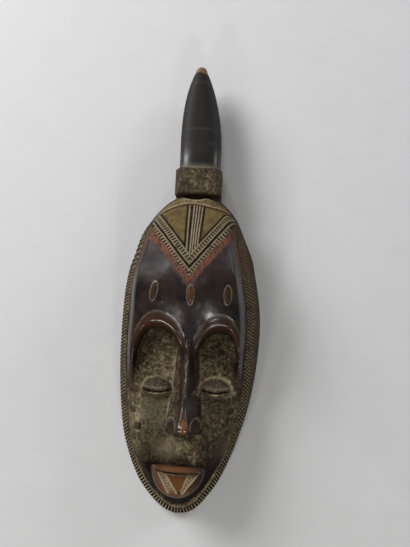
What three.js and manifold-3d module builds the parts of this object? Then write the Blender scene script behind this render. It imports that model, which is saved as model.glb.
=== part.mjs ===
import * as THREE from 'three';
import { mergeVertices } from 'three/addons/utils/BufferGeometryUtils.js';
import Module from 'manifold-3d';

// A carved wooden spirit mask with a tall horn, lying on its back.
// +Y runs from the chin to the tip of the horn, +X to the viewer's right, and +Z out of the face.
// A place on the face is given as x and as up, the distance from the tip of the chin.

// Driving dimensions, in millimetres
const LENGTH = 450;
const WIDEST = { half: 70.5, up: 181 };
const CROWN_TOP = 321;
// The middle line is cut by hand and wanders a little: [up, x]
const MIDDLE = [[0, -1.5], [25, -3.6], [70, -3.2], [105, -1], [140, 0.4], [190, 1.4], [238, 0], [256, 0.8],
  [275, 0], [290, 1.4], [312, 2.2]];
// How full the outline's curve is, along the face below and above its widest place, and across it
const CURVE = { below: 1.95, above: 2.15, across: 2 };
// The curve's half width, drawn in a little on both sides of the chin's tip: [up, half]
const HALF_WIDTH = [[0, 70.5], [11, 68.3], [30, WIDEST.half]];

// Where the side of the head passes into its crown
const CROWN_EDGE = { from: 250, to: 296 };
// The notched rim: the height of its inner edge, rising from the chin to the sides, the width, spacing and
// depth of its strokes, the plain fillet inside them, and how far it falls outwards
const RIM = {
  height: { chin: 9, side: 30, crown: 27, from: 15, to: 165 },
  stroke: { side: 5.5, crown: 1.5, pitch: 3.3, depth: 1.3 },
  fillet: { side: 2.2, crown: 0.44 },
  fall: { chin: 2.5, side: 4, from: 30, to: 150 },
};
// The side wall spreads towards the back, more on the right than on the left
const SPREAD = { chin: 0.6, left: 3, right: 8, crown: 1.5, from: 60, to: 170 };

// Height of the forehead and coiffure along the middle, from the nose to the crown: [up, height]
const FOREHEAD = [[112, 32], [130, 38], [150, 45], [170, 53], [185, 61], [200, 69.5], [212, 74.5], [224, 76.2],
  [240, 75], [262, 67], [285, 56.5], [303, 47], [323, 37]];
// Height of the face under the brows: [up, height]
const FACE = [[8, 40], [24, 51], [48, 51], [60, 54], [84, 50], [104, 46], [128, 42.5], [160, 40.5],
  [200, 43]];
// How far in from the rim the cheeks and the chin take to rise, and how full their rise is: [up, power].
// At the chin a flat ledge lies inside the rim before it.
const CHEEK_RUN = 18.5;
const CHEEK_FULLNESS = [[8, 1.25], [30, 1.35], [60, 2.2], [84, 2.6]];
const CHIN_LEDGE = { width: 2.4, from: 20, to: 80 };
const FOREHEAD_RUN = { side: 14, crown: 11 };
// How the forehead falls away to the sides: it is domed over the brows, and dips between the temples
const CROWNING = { temples: -0.0015, dome: 0.005, from: 160, to: 205 };

// The two sockets: top of the arch, its half widths to the temple and the nose, and how far each side falls
const SOCKETS = [
  { x: -30, up: 196, temple: { run: 24.8, fall: 56 }, nose: { run: 31, fall: 42 } },
  { x: 33.7, up: 194.3, temple: { run: 22.4, fall: 48 }, nose: { run: 30, fall: 50 } },
];
// How wide the rounded brow is beside a socket and over its top, where on it the crest of its roll is, how
// much it falls up to there, and how it rolls over beyond
const BROW = { side: 6, top: 14, crest: 0.45, slope: 0.06, fullness: 2.8, roundness: 0.6 };
// The lowest that the rows of facets along the brows reach at the temples
const BROW_END = 160;

// The nose: half widths of its flat ridge at the tip and on the bridge, and where they and its ends pass over
const NOSE = {
  x: 2.4, tip: { half: 4.6, up: 88 }, bridge: { half: 1.7, up: 108 }, base: { from: 83.3, to: 85.7 },
  root: { from: 164, to: 184 }, flank: 1.15,
};
const NOSE_HALF = [[84, 17], [101, 16.6], [115, 15], [137, 12.8], [156, 11.6], [176, 10]];
const NOSE_RISE = [[84, 22], [92, 26], [110, 20.5], [130, 18.5], [155, 17.5], [176, 18]];
const NOSTRILS = [{ x: -9.7, up: 92 }, { x: 13.7, up: 92.3 }];
const NOSTRIL = { half: 4.4, length: 7.2, rise: 9 };

const EYES = [{ x: -26, up: 123.8 }, { x: 30.3, up: 124.8 }];
const EYE = { half: 14, lid: 11.4, underlid: 6.6, rise: 6, slit: 0.6 };

// The lower lip is a half-moon that stands out from the chin, its plane falling back to the upper lip. Its
// curve is a little fuller on the left than on the right.
const MOUTH = { x: -1, half: 24, up: 53.6, drop: 25.4, high: 60, low: 52, wall: 1.6, lean: -0.03 };
const MOUTH_FULLNESS = { left: 2.1, right: 1.85 };
const LIP = { x: -1, half: 24, up: 55.2, thick: 6.4, rise: 5.5 };

const FOREHEAD_MARKS = [
  { x: -31, up: 215, lean: 0.16 }, { x: 3.5, up: 212.5, lean: 0 }, { x: 38, up: 214, lean: 0 },
];
const FOREHEAD_MARK = { half: 3.8, length: 9.5, rise: 1.5 };
const CHEEK_MARKS = [{ x: -48, up: 103.8 }, { x: -41.6, up: 89 }, { x: -45.4, up: 79 }, { x: 45.7, up: 106 },
  { x: 43.4, up: 85.6 }];
const CHEEK_MARK = { half: 3.6, rise: 1.3 };

// The coiffure: a V of three ridges round a column of five. The places of the V's ridges are measured
// square to its arms, from its outermost ridge towards the crown.
const COIFFURE = { x: 1.5, up: 233.5, leftSlope: 1.24, rightSlope: 1.36, ridge: 1.4, rise: 1.2, steps: 14 };
const V_RIDGES = [0, 3.7, 8.8];
const COLUMN = { topX: 3.4, topUp: 302, footX: 2.4, footUp: 250, width: 13, ridges: 5, ridge: 1.5, steps: 5 };

// The block behind the crown and the horn that stands on it
const BLOCK = {
  x: 3.4, from: 300, to: 341, front: 18.7, back: 23.3, low: 6, high: 44, shoulder: 9, neck: 2.6,
  neckAt: 314.5,
};
// The horn's section is squarer at its base than at its worn, rounded tip
const HORN = {
  from: 338, widestAt: 365, half: 20.8, curve: 2.15, across: 1.4, depth: 0.82, blunt: 1.5, cap: 6,
  base: { x: 3.9, up: 350, squareness: 3.3 }, tip: { x: 0.6, up: 450, squareness: 2.1 },
  centreHeight: 26, backwards: 4, forwards: 3,
};

// The hollow behind the face: how far in from the outline it starts, how far it takes to rise, where it ends,
// the share of its height at its edge, and its height over the back: [up, height]
const HOLLOW = { wall: 14, run: 20, from: 24, to: 306, edge: 0.25 };
const HOLLOW_HEIGHT = [[24, 18], [50, 33], [70, 36], [95, 32], [125, 28], [172, 27], [192, 38], [216, 56],
  [250, 52], [280, 38], [306, 22]];

// How finely the solid is faceted
const COLUMNS = 36;
// The arcs that close the rows of facets at the chin and the crown: where each is sought, and its half width
const CHIN_ARC = { half: 20, across: 30, from: 60, to: 0 };
const CROWN_ARC = { half: 26, across: 300, from: 260, to: CROWN_TOP };
const HOLLOW_GRID = { rows: 16, columns: 12 };
const HORN_GRID = { rings: 12, sides: 16, gather: 1.6 };
// How deep a raised form is let into the front
const SUNK = 3;
// The step that a slope is measured over, and the least that a slope is divided by
const STEP = 0.05;
const TINY = 1e-4;

const WOOD = new THREE.MeshStandardMaterial({ name: 'wood', color: 0x3a2f28, roughness: 0.45, metalness: 0 });

const clamp = (value, low, high) => Math.min(high, Math.max(low, value));
const mix = (a, b, t) => a + (b - a) * t;
const smooth = (from, to, value) => {
  const t = clamp((value - from) / (to - from), 0, 1);
  return t * t * (3 - 2 * t);
};
const dome = (r) => Math.sqrt(Math.max(0, 1 - r * r));
// 0 at the edge of a form and 1 once it is `run` in from there, rounding over
const roundOver = (distance, run, power = 2.6) => 1 - (1 - clamp(distance / run, 0, 1)) ** power;

// A smooth curve through a few [place, value] pairs
function through(pairs, place) {
  const last = pairs.length - 1;
  if (place <= pairs[0][0]) return pairs[0][1];
  if (place >= pairs[last][0]) return pairs[last][1];
  const i = pairs.findIndex(([p]) => p > place) - 1;
  const slope = (k) => {
    const a = pairs[Math.max(0, k - 1)];
    const b = pairs[Math.min(last, k + 1)];
    return (b[1] - a[1]) / (b[0] - a[0]);
  };
  const [p0, v0] = pairs[i];
  const [p1, v1] = pairs[i + 1];
  const span = p1 - p0;
  const t = (place - p0) / span;
  const start = v0 * (1 + 2 * t) * (1 - t) ** 2 + slope(i) * span * t * (1 - t) ** 2;
  return start + v1 * t * t * (3 - 2 * t) - slope(i + 1) * span * t * t * (1 - t);
}

// Outline of the face

const middle = (up) => through(MIDDLE, up);
const sideOf = (x, up) => (x < middle(up) ? -1 : 1);

// 1 on the outline, less inside it
function outlineLevel(x, up) {
  const below = up < WIDEST.up;
  const reach = below ? WIDEST.up : CROWN_TOP - WIDEST.up;
  const along = below ? CURVE.below : CURVE.above;
  const across = Math.abs(x - middle(up)) / through(HALF_WIDTH, up);
  return across ** CURVE.across + (Math.abs(up - WIDEST.up) / reach) ** along;
}

// How fast that level grows across and along the face
const outlineSlope = (x, up) => [
  (outlineLevel(x + STEP, up) - outlineLevel(x - STEP, up)) / (2 * STEP),
  (outlineLevel(x, up + STEP) - outlineLevel(x, up - STEP)) / (2 * STEP),
];

// Distance in from the outline
function distanceIn(x, up) {
  const least = 0.004;
  return (1 - outlineLevel(x, up)) / Math.max(least, Math.hypot(...outlineSlope(x, up)));
}

// Where a line from inside the face to its outline is `distance` in from the outline
function findInset(pointAt, distance) {
  const halvings = 34;
  let inside = 0;
  let outside = 1;
  for (let i = 0; i < halvings; i += 1) {
    const t = (inside + outside) / 2;
    const [x, up] = pointAt(t);
    if (distanceIn(x, up) > distance(x, up)) inside = t;
    else outside = t;
  }
  return pointAt(inside);
}

// The rim, measured in from the outline

const crownPart = (up) => smooth(CROWN_EDGE.from, CROWN_EDGE.to, up);
// A size that grows from the chin to the sides
const growing = (size, side, up) => mix(size.chin, side, smooth(size.from, size.to, up));
function spread(x, up) {
  const side = sideOf(x, up) < 0 ? SPREAD.left : SPREAD.right;
  return mix(growing(SPREAD, side, up), SPREAD.crown, crownPart(up));
}
const strokeWidth = (up) => mix(RIM.stroke.side, RIM.stroke.crown, crownPart(up));
const filletWidth = (up) => mix(RIM.fillet.side, RIM.fillet.crown, crownPart(up));
const rimInner = (x, up) => spread(x, up) + strokeWidth(up) + filletWidth(up);
const rimHeight = (up) => mix(growing(RIM.height, RIM.height.side, up), RIM.height.crown, crownPart(up));
const rimFall = (up) => growing(RIM.fall, RIM.fall.side, up);

// Front of the head

function foreheadHeight(x, up) {
  const edge = rimHeight(up);
  const run = mix(FOREHEAD_RUN.side, FOREHEAD_RUN.crown, crownPart(up));
  const crowning = mix(CROWNING.temples, CROWNING.dome, smooth(CROWNING.from, CROWNING.to, up));
  const top = through(FOREHEAD, up) - crowning * (x - NOSE.x) ** 2;
  return edge + (top - edge) * roundOver(distanceIn(x, up) - rimInner(x, up), run);
}

function faceHeight(x, up) {
  const edge = rimHeight(up);
  const ledge = CHIN_LEDGE.width * (1 - smooth(CHIN_LEDGE.from, CHIN_LEDGE.to, up));
  const inward = distanceIn(x, up) - rimInner(x, up) - ledge;
  return edge + (through(FACE, up) - edge) * roundOver(inward, CHEEK_RUN, through(CHEEK_FULLNESS, up));
}

// The half of a socket that a place lies in, towards the temple or towards the nose
const socketPart = (socket, x) => ((x < socket.x) === (socket.x < 0) ? socket.temple : socket.nose);

// 1 on the forehead, 0 on the floor of the socket, falling over the rounded brow between them
function browShare(x, up, socket) {
  const part = socketPart(socket, x);
  const across = (x - socket.x) / part.run;
  const along = Math.max(0, up - (socket.up - part.fall)) / part.fall;
  const level = Math.hypot(across, along);
  const gradX = across / part.run;
  const gradUp = along / part.fall;
  const steepness = Math.max(TINY, Math.hypot(gradX, gradUp));
  const inward = ((1 - level) * Math.max(level, TINY)) / steepness;
  const upright = gradUp / steepness;
  const band = clamp(inward / mix(BROW.side, BROW.top, upright ** 2), 0, 1);
  const over = Math.max(0, (band - BROW.crest) / (1 - BROW.crest));
  const before = 1 - BROW.slope * Math.min(1, band / BROW.crest);
  return before * (1 - over ** BROW.fullness) ** BROW.roundness;
}

function noseRise(x, up) {
  const half = through(NOSE_HALF, up);
  const flat = mix(NOSE.tip.half, NOSE.bridge.half, smooth(NOSE.tip.up, NOSE.bridge.up, up));
  const flank = clamp((Math.abs(x - NOSE.x) - flat) / (half - flat), 0, 1);
  const ends = smooth(NOSE.base.from, NOSE.base.to, up) * (1 - smooth(NOSE.root.from, NOSE.root.to, up));
  return through(NOSE_RISE, up) * ends * (1 - flank) ** NOSE.flank;
}

// The broad forms of the front, without the small raised ones
function frontHeight(x, up) {
  const face = faceHeight(x, up);
  const share = up > 100 ? Math.min(...SOCKETS.map((socket) => browShare(x, up, socket))) : 0;
  return Math.max(face + Math.max(0, foreheadHeight(x, up) - face) * share, face + noseRise(x, up));
}

// The plane of the lower lip
const lipPlane = (x, up) => mix(MOUTH.high, MOUTH.low, (up - MOUTH.up + MOUTH.drop) / MOUTH.drop);

// Rows across the front, each from its left end to its right end on the inner edge of the rim

const acrossRow = Array.from({ length: COLUMNS + 1 }, (_, i) => (2 * i) / COLUMNS - 1);
// Columns stand closer together in the middle, on the nose
const GATHERED = 0.18;
const gather = (a) => (1 - GATHERED) * a + GATHERED * a ** 3;

// The side of the front at a given height
function sidePoint(up, side) {
  return findInset((t) => [middle(up) + side * t * WIDEST.half, up], rimInner);
}
// The short arcs that close the front at the chin and at the crown
const closingArc = (closing) => acrossRow.map((a) => {
  const x = middle(closing.across) + closing.half * a;
  return findInset((t) => [x, mix(closing.from, closing.to, t)], rimInner);
});
const chinArc = closingArc(CHIN_ARC);
const crownArc = closingArc(CROWN_ARC);

// A row whose two ends are at one height and whose middle follows shape(x, a)
function row(end, shape) {
  const [left] = sidePoint(end, -1);
  const [right] = sidePoint(end, 1);
  return acrossRow.map((a) => {
    const x = mix(left, right, (gather(a) + 1) / 2);
    return [x, Math.abs(a) === 1 ? end : shape(x, a)];
  });
}
const level = (up, sag = 0) => row(up, (x, a) => up - sag * (1 - a * a));

// A row along the brows, dipping at the root of the nose
function browRow(drop) {
  const [left, right] = SOCKETS;
  const end = BROW_END - drop;
  return row(end, (x) => {
    const socket = x < NOSE.x ? left : right;
    const part = socketPart(socket, x);
    const across = Math.min(1, Math.abs(x - socket.x) / part.run);
    return Math.max(socket.up - part.fall * (1 - dome(across)) - drop, end);
  });
}

// Neighbouring key rows, and how many steps lead up to each
const KEY_ROWS = [
  [chinArc, 0], [level(26, 4), 4], [level(56), 4], [level(83), 4], [level(86.5), 2], [level(117), 4],
  [level(139), 4], [browRow(BROW.top), 5], [browRow(0), 5], [crownArc, 13],
];

function frontRows() {
  const rows = [KEY_ROWS[0][0]];
  for (let k = 1; k < KEY_ROWS.length; k += 1) {
    const [from] = KEY_ROWS[k - 1];
    const [to, steps] = KEY_ROWS[k];
    for (let s = 1; s <= steps; s += 1) {
      const t = s / steps;
      const between = from.map(([x, up], i) => [mix(x, to[i][0], t), mix(up, to[i][1], t)]);
      const leftEnd = s === steps ? to[0] : sidePoint(between[0][1], -1);
      const rightEnd = s === steps ? to[COLUMNS] : sidePoint(between[COLUMNS][1], 1);
      const [left] = between[0];
      const [right] = between[COLUMNS];
      rows.push(between.map(([x, up]) => [mix(leftEnd[0], rightEnd[0], (x - left) / (right - left)), up]));
    }
  }
  return rows;
}

// Joining rings of points into one closed body

class Body {
  constructor() {
    this.points = [];
    this.faces = [];
  }

  add(x, up, z) {
    this.points.push(x, up - LENGTH / 2, z);
    return this.points.length / 3 - 1;
  }

  quad(a, b, c, d) {
    this.faces.push(a, b, c, a, c, d);
  }

  // A band between two closed rings that need not have the same number of points
  band(inner, outer) {
    let i = 0;
    let o = 0;
    while (i < inner.length || o < outer.length) {
      const inside = inner[i % inner.length];
      const outside = outer[o % outer.length];
      if (o >= outer.length || (i < inner.length && (i + 1) / inner.length <= (o + 1) / outer.length)) {
        this.faces.push(inside, outside, inner[(i + 1) % inner.length]);
        i += 1;
      } else {
        this.faces.push(inside, outside, outer[(o + 1) % outer.length]);
        o += 1;
      }
    }
  }

  fan(ring, centre) {
    ring.forEach((a, i) => this.faces.push(a, ring[(i + 1) % ring.length], centre));
  }

  geometry() {
    const geometry = new THREE.BufferGeometry();
    geometry.setAttribute('position', new THREE.Float32BufferAttribute(this.points, 3));
    geometry.setIndex(this.faces);
    return mergeVertices(geometry, 1e-4);
  }
}

// The outline point that lies straight out from a point on the inner edge of the rim
function outlinePoint([x, up]) {
  const [dx, du] = outlineSlope(x, up);
  const reach = (rimInner(x, up) * 1.6) / Math.hypot(dx, du);
  return findInset((t) => [x + dx * reach * t, up + du * reach * t], () => 0);
}

// The length of a closed line up to each of its points, and back to the first
function lengthsAlong(line) {
  const lengths = [0];
  line.forEach((p, i) => {
    const q = line[(i + 1) % line.length];
    lengths.push(lengths[i] + Math.hypot(q[0] - p[0], q[1] - p[1]));
  });
  return lengths;
}

// A closed ring of points, evenly spaced along a closed line
function resample(line, count) {
  const lengths = lengthsAlong(line);
  const total = lengths[line.length];
  let i = 0;
  return Array.from({ length: count }, (_, k) => {
    const at = (total * k) / count;
    while (lengths[i + 1] < at) i += 1;
    const t = (at - lengths[i]) / (lengths[i + 1] - lengths[i]);
    const q = line[(i + 1) % line.length];
    return [mix(line[i][0], q[0], t), mix(line[i][1], q[1], t)];
  });
}

function faceBody() {
  const body = new Body();
  const rows = frontRows();
  const grid = rows.map((points) => points.map(([x, up]) => body.add(x, up, frontHeight(x, up))));
  for (let r = 0; r + 1 < grid.length; r += 1) {
    const [near, far] = [grid[r], grid[r + 1]];
    for (let c = 0; c < COLUMNS; c += 1) body.quad(near[c], near[c + 1], far[c + 1], far[c]);
  }
  const last = rows.length - 1;
  const around = (table) => [
    ...table[0], ...table.slice(1, last).map((r) => r[COLUMNS]), ...[...table[last]].reverse(),
    ...table.slice(1, last).map((r) => r[0]).reverse(),
  ];
  const inner = around(grid);
  const innerPoints = around(rows);
  const outline = innerPoints.map(outlinePoint);
  const inset = (line, distance) => line.map((p, i) => {
    const [ox, oup] = outline[i];
    const size = Math.hypot(p[0] - ox, p[1] - oup);
    const t = Math.min(1, distance(ox, oup) / size);
    return [mix(ox, p[0], t), mix(oup, p[1], t)];
  });
  const fillet = inset(innerPoints, (x, up) => spread(x, up) + strokeWidth(up));
  const filletRing = fillet.map(([x, up]) => body.add(x, up, rimHeight(up)));
  body.band(inner, filletRing);

  const edge = inset(innerPoints, spread);
  const strokes = Math.round(lengthsAlong(edge)[edge.length] / RIM.stroke.pitch);
  const centre = [middle(WIDEST.up), WIDEST.up];
  const edgeRing = resample(edge, strokes * 2).map(([x, up], i) => {
    const depth = i % 2 ? RIM.stroke.depth * (1 - crownPart(up)) : 0;
    const scale = 1 - depth / Math.hypot(x - centre[0], up - centre[1]);
    const height = rimHeight(up) - rimFall(up) - depth;
    return body.add(mix(centre[0], x, scale), mix(centre[1], up, scale), height);
  });
  body.band(filletRing, edgeRing);
  const footRing = resample(outline, strokes).map(([x, up]) => body.add(x, up, 0));
  body.band(edgeRing, footRing);
  body.fan(footRing.reverse(), body.add(...centre, 0));
  return body.geometry();
}

// The hollow as a solid of its own, open to the back

function hollowHeight(x, up) {
  const vault = roundOver(distanceIn(x, up) - HOLLOW.wall, HOLLOW.run, 2);
  return through(HOLLOW_HEIGHT, up) * mix(HOLLOW.edge, 1, vault);
}

function hollowBody() {
  const body = new Body();
  const { rows, columns } = HOLLOW_GRID;
  const below = -5;
  const wall = () => HOLLOW.wall;
  const edge = (up, side) => findInset((t) => [middle(up) + side * t * WIDEST.half, up], wall)[0];
  const layer = (height) => Array.from({ length: rows + 1 }, (_, r) => {
    const up = mix(HOLLOW.from, HOLLOW.to, r / rows);
    const left = edge(up, -1);
    const right = edge(up, 1);
    return Array.from({ length: columns + 1 }, (__, c) => {
      const x = mix(left, right, c / columns);
      return body.add(x, up, height(x, up));
    });
  });
  const top = layer(hollowHeight);
  const foot = layer(() => below);
  for (let r = 0; r < rows; r += 1) {
    for (let c = 0; c < columns; c += 1) {
      body.quad(top[r][c], top[r][c + 1], top[r + 1][c + 1], top[r + 1][c]);
      body.quad(foot[r][c], foot[r + 1][c], foot[r + 1][c + 1], foot[r][c + 1]);
    }
    body.quad(top[r][0], top[r + 1][0], foot[r + 1][0], foot[r][0]);
    body.quad(top[r][columns], foot[r][columns], foot[r + 1][columns], top[r + 1][columns]);
  }
  for (let c = 0; c < columns; c += 1) {
    body.quad(top[0][c], foot[0][c], foot[0][c + 1], top[0][c + 1]);
    body.quad(top[rows][c], top[rows][c + 1], foot[rows][c + 1], foot[rows][c]);
  }
  return body.geometry();
}

// A body through a row of closed sections of [x, up, height] points, closed flat at both ends
function loft(sections) {
  const body = new Body();
  const rings = sections.map((section) => section.map((point) => body.add(...point)));
  for (let r = 0; r + 1 < rings.length; r += 1) body.band(rings[r + 1], rings[r]);
  const centre = (section) => {
    const mean = (k) => section.reduce((sum, point) => sum + point[k], 0) / section.length;
    return body.add(mean(0), mean(1), mean(2));
  };
  const last = sections.length - 1;
  body.fan([...rings[0]].reverse(), centre(sections[0]));
  body.fan(rings[last], centre(sections[last]));
  return body.geometry();
}

// The block is narrower in front than behind, with a shallow neck where it meets the crown
function blockBody() {
  const section = (up, shrink) => {
    const front = BLOCK.front - shrink;
    const back = BLOCK.back - shrink;
    const high = BLOCK.high - shrink;
    const shoulder = high - BLOCK.shoulder;
    const half = [[back, BLOCK.low], [back, shoulder], [front, high]];
    const left = half.map(([x, z]) => [BLOCK.x - x, up, z]);
    const right = half.map(([x, z]) => [BLOCK.x + x, up, z]).reverse();
    return [...left, ...right];
  };
  const rings = [
    [BLOCK.from, BLOCK.neck], [BLOCK.neckAt - 1, BLOCK.neck], [BLOCK.neckAt + 1, 0],
    [BLOCK.to - 1, 0], [BLOCK.to, 1],
  ];
  return loft(rings.map(([up, shrink]) => section(up, shrink)));
}

function hornBody() {
  const sections = Array.from({ length: HORN_GRID.rings + 1 }, (_, r) => {
    const t = r / HORN_GRID.rings;
    const up = mix(HORN.from, LENGTH, 1 - (1 - t) ** HORN_GRID.gather);
    const taper = clamp((up - HORN.widestAt) / (LENGTH + HORN.blunt - HORN.widestAt), 0, 1);
    const tapered = HORN.half * (1 - taper ** HORN.curve) ** (1 / HORN.across);
    const left = LENGTH - up;
    const half = Math.max(tapered, left < HORN.cap ? Math.sqrt(left * (2 * HORN.cap - left)) : 0);
    const x = mix(HORN.base.x, HORN.tip.x, smooth(HORN.base.up, HORN.tip.up, up));
    const share = (up - HORN.from) / (LENGTH - HORN.from);
    const z = HORN.centreHeight - HORN.backwards * Math.sin(share * Math.PI) + HORN.forwards * share ** 3;
    const power = 2 / mix(HORN.base.squareness, HORN.tip.squareness, share ** 2);
    const squared = (value) => Math.sign(value) * Math.abs(value) ** power;
    return Array.from({ length: HORN_GRID.sides }, (__, s) => {
      const angle = (-2 * Math.PI * (s + 0.5)) / HORN_GRID.sides;
      const [px, pz] = [squared(Math.cos(angle)), squared(Math.sin(angle))];
      return [x + half * px, up, z + half * HORN.depth * pz];
    });
  });
  return loft(sections);
}

// Small forms raised from the front

// A form whose outline, seen from the front and running left about, shrinks towards a centre as it rises.
// Each layer is [size, rise over the floor].
function raised(outline, centre, layers, floor = frontHeight) {
  const body = new Body();
  const foot = layers[0][1] - SUNK;
  const rings = [[1, foot], ...layers].map(([size, rise]) => outline.map(([x, up]) => {
    const px = mix(centre[0], x, size);
    const pup = mix(centre[1], up, size);
    return body.add(px, pup, floor(px, pup) + rise);
  }));
  for (let r = 0; r + 1 < rings.length; r += 1) body.band(rings[r + 1], rings[r]);
  const over = (rise) => body.add(...centre, floor(...centre) + rise);
  body.fan([...rings[0]].reverse(), over(foot));
  body.fan(rings[rings.length - 1], over(layers[layers.length - 1][1]));
  return body.geometry();
}

// Points on a stretch of an ellipse, from one angle to another in half turns
function arc(x, up, half, height, from, to, count) {
  return Array.from({ length: count }, (_, i) => {
    const angle = mix(from, to, i / (count - 1)) * Math.PI;
    return [x + half * Math.cos(angle), up + height * Math.sin(angle)];
  });
}

// A narrow ridge between its left and its right edge, each a line of [x, up] points
function ridge(left, right, rise) {
  return loft(left.map((a, i) => {
    const b = right[i];
    const at = (t, lift) => {
      const x = mix(a[0], b[0], t);
      const up = mix(a[1], b[1], t);
      return [x, up, frontHeight(x, up) + lift];
    };
    return [at(0, -SUNK), at(0.2, rise), at(0.8, rise), at(1, -SUNK)];
  }));
}

function eyelids({ x, up }) {
  const upper = arc(x, up + EYE.slit, EYE.half, EYE.lid, 0, 1, 11);
  const lower = arc(x, up - EYE.slit, EYE.half - 0.8, EYE.underlid, 1, 2, 11);
  const rounded = (most) => [[1, 0.4], [0.86, most * 0.6], [0.6, most * 0.9], [0.3, most]];
  return [
    raised(upper, [x, up + EYE.slit + 2], rounded(EYE.rise), faceHeight),
    raised(lower, [x, up - EYE.slit - 1.2], rounded(EYE.rise * 0.7), faceHeight),
  ];
}

function nostril({ x, up }) {
  const outline = arc(x, up, NOSTRIL.half, NOSTRIL.length, 0, 2, 13).slice(1);
  const layers = [[1, 1], [0.85, NOSTRIL.rise * 0.7], [0.5, NOSTRIL.rise]];
  return raised(outline, [x, up], layers, faceHeight);
}

function mouth() {
  const leaning = ([x, up]) => [x, up + MOUTH.lean * (x - MOUTH.x)];
  const moon = arc(0, 0, 1, 1, 1, 2, 17).map(([across, down]) => {
    const power = 2 / (across < 0 ? MOUTH_FULLNESS.left : MOUTH_FULLNESS.right);
    const x = MOUTH.x + MOUTH.half * Math.sign(across) * Math.abs(across) ** power;
    return leaning([x, MOUTH.up - MOUTH.drop * Math.abs(down) ** power]);
  });
  const lip = arc(LIP.x, LIP.up, LIP.half, LIP.thick, 1, 2, 13).map(leaning);
  return [
    raised(moon, [MOUTH.x, MOUTH.up - 8], [[1, -12], [1, -MOUTH.wall], [0.95, 0]], lipPlane),
    raised(lip, [LIP.x, LIP.up - 2.6], [[1, -2], [0.8, LIP.rise * 0.8], [0.4, LIP.rise]], lipPlane),
  ];
}

function foreheadMark({ x, up, lean }) {
  const count = 6;
  const side = (sign) => Array.from({ length: count }, (_, i) => {
    const t = sign * ((2 * i) / count - 1);
    const along = t * FOREHEAD_MARK.length;
    return [x + sign * FOREHEAD_MARK.half * (1 - t * t) + lean * along, up + along];
  });
  return raised([...side(1), ...side(-1)], [x, up], [[1, 0.2], [0.7, FOREHEAD_MARK.rise]]);
}

function cheekMark({ x, up }) {
  const h = CHEEK_MARK.half;
  const square = [[x - h, up - h], [x + h, up - h], [x + h, up + h], [x - h, up + h]];
  return raised(square, [x, up], [[1, 0.2], [0.75, CHEEK_MARK.rise]]);
}

// The ridges of the V, each running from the left end of its arms through its point to the right end
function coiffureRidges() {
  const slope = (x) => (x < COIFFURE.x ? COIFFURE.leftSlope : COIFFURE.rightSlope);
  const line = (offset) => (x) =>
    COIFFURE.up + slope(x) * Math.abs(x - COIFFURE.x) + offset * Math.hypot(1, slope(x));
  const end = (at, side) => findInset((t) => {
    const x = COIFFURE.x + side * t * WIDEST.half;
    return [x, at(x)];
  }, rimInner)[0];
  return V_RIDGES.map((offset) => {
    const outer = line(offset);
    const inner = line(offset + COIFFURE.ridge);
    const [left, right] = [end(inner, -1), end(inner, 1)];
    const places = Array.from({ length: COIFFURE.steps + 1 }, (_, i) => {
      const a = (2 * i) / COIFFURE.steps - 1;
      return mix(COIFFURE.x, a < 0 ? left : right, Math.abs(a));
    });
    return ridge(places.map((x) => [x, inner(x)]), places.map((x) => [x, outer(x)]), COIFFURE.rise);
  });
}

function columnRidges() {
  const gap = (COLUMN.width - COLUMN.ridge) / (COLUMN.ridges - 1);
  return Array.from({ length: COLUMN.ridges }, (_, k) => {
    const offset = k * gap - COLUMN.width / 2;
    const edge = (shift) => Array.from({ length: COLUMN.steps + 1 }, (__, i) => {
      const t = i / COLUMN.steps;
      return [mix(COLUMN.footX, COLUMN.topX, t) + offset + shift, mix(COLUMN.footUp, COLUMN.topUp, t)];
    });
    return ridge(edge(0), edge(COLUMN.ridge), COIFFURE.rise);
  });
}

// Cutting the hollow and joining the block and the horn

const wasm = await Module();
wasm.setup();

function solid(geometry) {
  const vertProperties = new Float32Array(geometry.attributes.position.array);
  const triVerts = new Uint32Array(geometry.index.array);
  return new wasm.Manifold(new wasm.Mesh({ numProp: 3, vertProperties, triVerts }));
}

function toGeometry(manifold) {
  const mesh = manifold.getMesh();
  const geometry = new THREE.BufferGeometry();
  geometry.setAttribute('position', new THREE.BufferAttribute(new Float32Array(mesh.vertProperties), 3));
  geometry.setIndex(new THREE.BufferAttribute(new Uint32Array(mesh.triVerts), 1));
  geometry.computeVertexNormals();
  return geometry;
}

const joined = [
  blockBody(), hornBody(), ...EYES.flatMap(eyelids), ...NOSTRILS.map(nostril), ...mouth(),
  ...FOREHEAD_MARKS.map(foreheadMark), ...CHEEK_MARKS.map(cheekMark), ...coiffureRidges(), ...columnRidges(),
];
const hollowed = solid(faceBody()).subtract(solid(hollowBody()));
const carved = joined.reduce((whole, geometry) => whole.add(solid(geometry)), hollowed);

const mask = new THREE.Mesh(toGeometry(carved), WOOD);
mask.name = 'mask';
// The origin is under the middle of the whole carving
mask.geometry.computeBoundingBox();
const centre = mask.geometry.boundingBox.getCenter(new THREE.Vector3());
mask.position.set(-centre.x, -centre.y, 0);

const group = new THREE.Group();
group.add(mask);

export default group;
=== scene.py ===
import math

import bpy
import numpy as np
from mathutils import Matrix, Vector


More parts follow.
